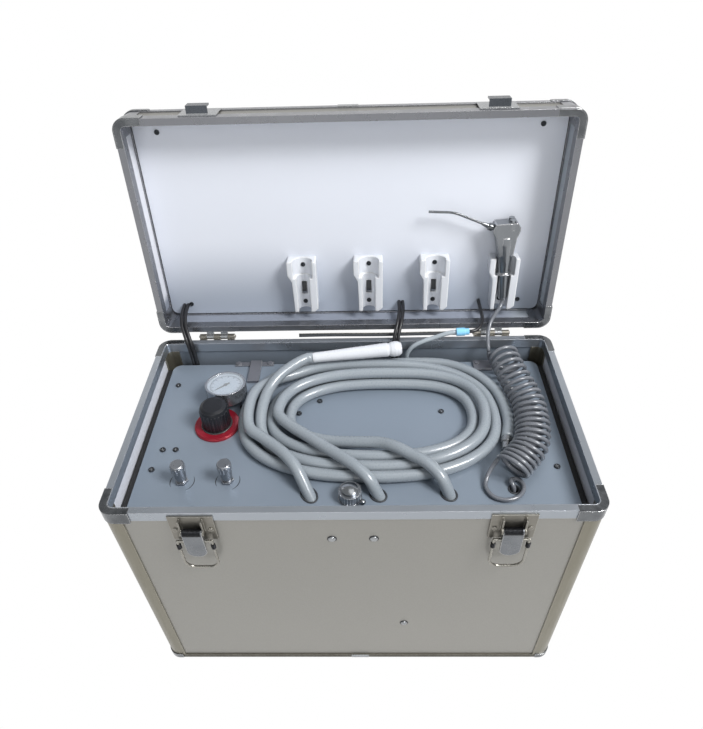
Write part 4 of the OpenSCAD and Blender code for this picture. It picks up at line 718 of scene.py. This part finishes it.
def to_lid(points):
    """Closed-lid millimetres turned back about the hinge by the angle shown, in metres."""
    p = np.array(points, float)
    a = radians(96.3)
    y, z = p[..., 1] - hinge_y, p[..., 2] - hinge_z
    return np.stack([p[..., 0], hinge_y + cos(a) * y + sin(a) * z,
                     hinge_z - sin(a) * y + cos(a) * z], -1) / 1000


lining_z = 323.5
lining_out = to_lid([0, 0, 0]) - to_lid([0, 0, 1])
holder_xs = [-55.6, 17.5, 90.4, 166]
panel_screws = rel([[-195, 67, 0.2], [-195, 185, 0.2], [195, 67, 0.2], [195, 185, 0.2],
                    [-57, 140, 0.1], [-36, 158, 0.1], [92, 141, 0.1], [-190, 92, 0.1],
                    [-177, 92, 0.1], [-118, 150, 0.1]])
# the same dark finish also paints the shadow discs under the rivet heads further on
screw_and_shadow_black = finish("blackened_screw_and_shadow", (0.035, 0.038, 0.045), (0.06, 0.065, 0.07), (0.3, 0.3, 0.3),
                    rough=(0.3, 0.45), metallic=0.85, fine=600, broad=40, edge=0.0002)
screws = grids_mesh("panel_screws", [screw_rings(p, (0, 0, 1), radius=0.0029, height=0.0014)
                                     for p in panel_screws])
screws.data.materials.append(screw_and_shadow_black)
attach(screws, "case")
# two in each holder, sunk by h, and one in each corner of the lining
lid_places = [to_lid([x + 0.8, 69.7 - y, lining_z - h]) for x in holder_xs
              for y, h in ((22.5, 2.5), (-23.5, 3.2))]
lid_places += [to_lid([x, y, lining_z]) for x in (-189, 189) for y in (-97, 97)]
screws = grids_mesh("lining_screws", [screw_rings(p, lining_out, radius=0.0026, height=0.0012)
                                      for p in lid_places])
screws.data.materials.append(screw_and_shadow_black)
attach(screws, "lid")

# --- lid cap flanges ----------------------------------------------------------
# The pressed corner caps of the lid turn in over its open edge as thin flanges.
def flange_grid(sign_x, sign_y):
    """A flat strip along a corner: a leg, a quarter circle about the corner's centre, a leg.
    Each ring is a thin rectangle, as wide as the extrusion's edge, square to that line."""
    centre_x, centre_y, reach = 208, 105, 8.6
    inner, outer, under, top = -3.2, 3.3, 293.25, 293.48
    a = np.linspace(0, pi / 2, 12)
    mid = np.stack([centre_x + reach * np.cos(a), centre_y + reach * np.sin(a)], 1)
    mid = np.concatenate([[[centre_x + reach, 90]], mid, [[193, centre_y + reach]]])
    out = np.concatenate([[[1, 0]], np.stack([np.cos(a), np.sin(a)], 1), [[0, 1]]])
    rings = [[[*(m + k * o), h] for k, h in ((inner, under), (outer, under), (outer, top),
                                             (inner, top))] for m, o in zip(mid, out)]
    return to_lid(np.array(rings) * [sign_x, sign_y, 1])


flanges = grids_mesh("lid_cap_flanges", [flange_grid(x, y)[::x * y] for x in (-1, 1)
                                         for y in (-1, 1)], smooth=False)
flanges.data.materials.append(cap_mat)
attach(flanges, "lid")

# --- rivet heads --------------------------------------------------------------
# Domed steel heads on the front board's three rivets, each over a thin dark disc that is a
# painted shadow round the head.
board_y = -0.1158
rivet_places = [(-0.0184, board_y, 0.2506), (0.0194, board_y, 0.2506), (0.0512, board_y, 0.0876)]
head_r, head_h, shadow_disc_h = 0.0036, 0.0017, 0.0004
dome = [(head_r * cos(a), shadow_disc_h + head_h * sin(a)) for a in np.linspace(0, 1.52, 9)]
for name, made, profile in (
        ("rivet_domes", steel_mat, [(0.0034, 0.0002)] + dome),
        ("rivet_shadow_discs", screw_and_shadow_black, [(0.0044, 0), (0.0044, shadow_disc_h), (0.003, 0.0005)])):
    heads = grids_mesh(name, [turned_rings(p, (0, -1, 0), profile, 32) for p in rivet_places])
    heads.data.materials.append(made)
    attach(heads, "case")

# --- gauge dial ---------------------------------------------------------------
# Printed plate under the glass, pale blue-grey: a black scale without figures over three
# quarters of a turn. The gauge leans back by 7 degrees.
gauge_up = np.array(Matrix.Rotation(radians(-7), 3, "X") @ Vector((0, 0, 1)))
gauge_mid = rel([-135, 163, 24])
gauge_side = np.array([1.0, 0, 0])
gauge_north = np.cross(gauge_up, gauge_side)


def on_dial(x, y, depth):
    """A point x to the right and y up on the gauge's face, depth below its rim, in metres."""
    x, y = np.asarray(x, float)[..., None], np.asarray(y, float)[..., None]
    depth = np.asarray(depth)
    return gauge_mid + gauge_side * x + gauge_north * y - gauge_up * depth


rings, sides = 10, 96
dial_r, uv_span = 0.0193, 0.04
face_depth, back_depth = 0.00236, 0.0028
# the plate's closed back, its edge, then the printed face from its edge to its middle
r = np.concatenate([[[0.0004], [dial_r]], np.linspace(dial_r, 0.0002, rings)[:, None]])
a = angles(sides)
depth = np.full((len(r), sides, 1), face_depth)
depth[:2] = back_depth
dial = grids_mesh("dial_plate", [on_dial(r * np.cos(a), r * np.sin(a), depth)], smooth=False)
layer = dial.data.uv_layers.new(name="polar")
for loop, corner in zip(dial.data.loops, layer.data):
    ring, side = divmod(loop.vertex_index, sides)
    reach = r[ring, 0] / uv_span
    corner.uv = (0.5 + reach * cos(a[side]), 0.5 + reach * sin(a[side]))
dial_mat, tree, shader = new_material("printed_dial")
apart = new_node(tree, "SeparateXYZ", {0: new_node(tree, "UVMap", uv_map="polar").outputs[0]})
dx = maths(tree, "SUBTRACT", apart.outputs[0], 0.5)
dy = maths(tree, "SUBTRACT", apart.outputs[1], 0.5)
squares = maths(tree, "ADD", maths(tree, "MULTIPLY", dx, dx), maths(tree, "MULTIPLY", dy, dy))
# distance from the middle in millimetres
away = maths(tree, "MULTIPLY", maths(tree, "SQRT", squares), 1000 * uv_span)
# turns from the right-hand end of the scale, counted towards its left-hand end
scale_turns, right_end = 0.75, 1.125
whole = maths(tree, "DIVIDE", maths(tree, "ARCTAN2", dy, dx), 2 * pi)
turns = maths(tree, "FRACT", maths(tree, "ADD", whole, right_end))
on_scale = maths(tree, "LESS_THAN", turns, scale_turns + 0.003)


def ring_mask(inner, outer):
    """One between two radii in millimetres, and nought elsewhere."""
    return maths(tree, "MULTIPLY", maths(tree, "GREATER_THAN", away, inner),
                 maths(tree, "LESS_THAN", away, outer))


def ticks(per_scale, half, inner, outer):
    """Marks spread over the scale, from the inner to the outer radius. Half is half a mark's
    width as a share of their spacing."""
    along = maths(tree, "MULTIPLY", turns, per_scale / scale_turns)
    phase = maths(tree, "FRACT", maths(tree, "ADD", along, 0.5))
    off = maths(tree, "ABSOLUTE", maths(tree, "SUBTRACT", phase, 0.5))
    return maths(tree, "MULTIPLY", maths(tree, "LESS_THAN", off, half), ring_mask(inner, outer))


# fifty short marks, ten long ones and the circle round them
marks = maths(tree, "MAXIMUM", ticks(50, 0.16, 14.6, 16.6), ticks(10, 0.055, 12.6, 16.6))
lines = maths(tree, "MAXIMUM", marks, ring_mask(16.3, 16.7))
grain = new_node(tree, "TexNoise", {"Scale": 90}).outputs["Fac"]
paper = mixed(tree, grain, (0.3, 0.36, 0.44), (0.42, 0.48, 0.56))
inked = mixed(tree, maths(tree, "MULTIPLY", lines, on_scale), paper, (0.02, 0.02, 0.025))
feed(tree, shader, {"Base Color": inked, "Roughness": 0.5})
dial.data.materials.append(dial_mat)
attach(dial, "case")

# --- latch springs ------------------------------------------------------------
# Black spring wire wound round each lever's pin, and short wraps on the legs of each bail.
def coil_mesh(name, starts, way, up, length, turns_made, radius, wire):
    """Helices of wire: each runs along way from its start while it turns about that line at the
    given radius, evenly with length; the skin is a tube round that helix."""
    t = np.linspace(0, 1, int(turns_made * 16) + 1)[:, None]
    way, up = np.array(way, float), np.array(up, float)
    other = np.cross(way, up)
    grids = []
    for start in starts:
        a = 2 * pi * turns_made * t
        line = np.array(start) + way * length * t + radius * (up * np.cos(a) + other * np.sin(a))
        grids.append(round_skin(line, wire / 2, 8))
    return grids_mesh(name, grids)


spring_mat = finish("black_spring_wire", (0.02, 0.021, 0.024), (0.035, 0.036, 0.04),
                    (0.2, 0.2, 0.2), rough=(0.3, 0.4), metallic=0.8, fine=500, broad=60,
                    edge=0.0001)
latch_x, half_spring, half_loop = 0.14, 0.0082, 0.0155
for side, x in (("left", -latch_x), ("right", latch_x)):
    spring = coil_mesh(side + "_lever_spring", [(x - half_spring, -0.1222, 0.271)], (1, 0, 0),
                       (0, 0, 1), length=2 * half_spring, turns_made=15, radius=0.0034,
                       wire=0.0009)
    spring.data.materials.append(spring_mat)
    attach(spring, side + "_latch")
    wraps = coil_mesh(side + "_bail_wraps", [(x + leg, -0.1228, 0.2475)
                                             for leg in (-half_loop, half_loop)],
                      (0, 0, 1), (1, 0, 0), length=0.0065, turns_made=6, radius=0.0017,
                      wire=0.0009)
    wraps.data.materials.append(spring_mat)
    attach(wraps, side + "_wire")

# --- seals and shadow rings ---------------------------------------------------
# Thin black rings in the panel's slanted hose holes and round the curly cord, a painted shadow
# where each goes through, and the black seal strip with its bright wire in the gap between the
# case and the lid.
def ring_grid(centre, along, across, a, b, thick):
    """A ring of round section on an ellipse: centre plus a times cosine along one direction and
    b times sine along the other."""
    t = angles(48)[:, None]
    along, across = np.array(along, float), np.array(across, float)
    out = a * np.cos(t) * along + b * np.sin(t) * across
    line = np.array(centre) + out
    out /= np.linalg.norm(out, axis=1)[:, None]
    c = angles(10)[:, None]
    up = np.array([0, 0, 1.0])
    return line[:, None] + thick / 2 * (out[:, None] * np.cos(c) + up * np.sin(c))


rubber_and_shadow_mat = finish("rubber_and_painted_shadow", (0.03, 0.033, 0.04), (0.05, 0.055, 0.06), (0.12, 0.12, 0.13),
                  rough=(0.45, 0.6), fine=700, broad=40, edge=0.0003)
hole_r, lip, shadow_ring_thick, shadow_ring_z = 0.0062, 0.0006, 0.0018, 0.3
rings_made = []
# each ring is a painted shadow round a hose where it goes through the panel
for place, slant in zip(exits, exit_dirs):
    # a slanted round hole cuts the panel in an ellipse, longer by one over the cosine
    flat = np.array([slant[0], slant[1], 0.0])
    lean = np.linalg.norm(flat) / slant[2]
    flat /= np.linalg.norm(flat)
    wide = hole_r * sqrt(1 + lean * lean)
    rings_made.append(ring_grid(rel([place + [shadow_ring_z]])[0], flat, [-flat[1], flat[0], 0],
                                wide + lip, hole_r + lip, shadow_ring_thick))
rings_made.append(ring_grid(rel([curl_hole + [shadow_ring_z]])[0], [1, 0, 0], [0, 1, 0], 0.005, 0.005,
                            0.0016))
for k, grid in enumerate(rings_made):
    shadow_ring = grids_mesh(f"hose_shadow_ring_{k + 1}", [grid], closed_u=True)
    shadow_ring.data.materials.append(rubber_and_shadow_mat)
    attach(shadow_ring, "case")
# both strips run the same way and sag a little from end to end
strip_x, strip_length, sag = -0.062, 0.18, 0.0003
t = np.linspace(0, 1, 60)
for name, made, height, depth, thick in (("hinge_seal", rubber_and_shadow_mat, 0.2946, 0.1207, 0.0034),
                                         ("hinge_wire", wire_mat, 0.2974, 0.1203, 0.0011)):
    line = np.stack([strip_x + strip_length * t, np.full(60, depth),
                     height + sag * np.sin(9 * t)], 1)
    strip = hose_mesh(name, line, thick / 2, 12)
    strip.data.materials.append(made)
    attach(strip, "case")

# --- printed arcs -------------------------------------------------------------
# Black screen-printed arcs beside each flow valve: the long one shows the way to open.
ink_mat = finish("black_ink", (0.012, 0.013, 0.016), (0.03, 0.032, 0.036), (0.05, 0.05, 0.055),
                 rough=(0.4, 0.5), fine=1500, broad=300, edge=0.0001, bump=0.05)
arcs = []
arc_r = 11.5
for x, y in ((-162, 53), (-118.5, 53.5)):
    for start, stop in ((-62, 30), (150, 214)):
        a = np.radians(np.linspace(start, stop, 24))[:, None]
        # the line swells to the middle of its arc by the sine of its share
        half = 0.12 + 0.3 * np.sin(pi * np.linspace(0, 1, 24))[:, None]
        b = angles(8)
        out_by = arc_r + half * np.cos(b)
        arcs.append(rel(np.stack([x + out_by * np.cos(a), y + out_by * np.sin(a),
                                  np.broadcast_to(0.06 + 0.06 * np.sin(b), out_by.shape)], -1)))
marks = grids_mesh("valve_arcs", arcs)
marks.data.materials.append(ink_mat)
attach(marks, "case")
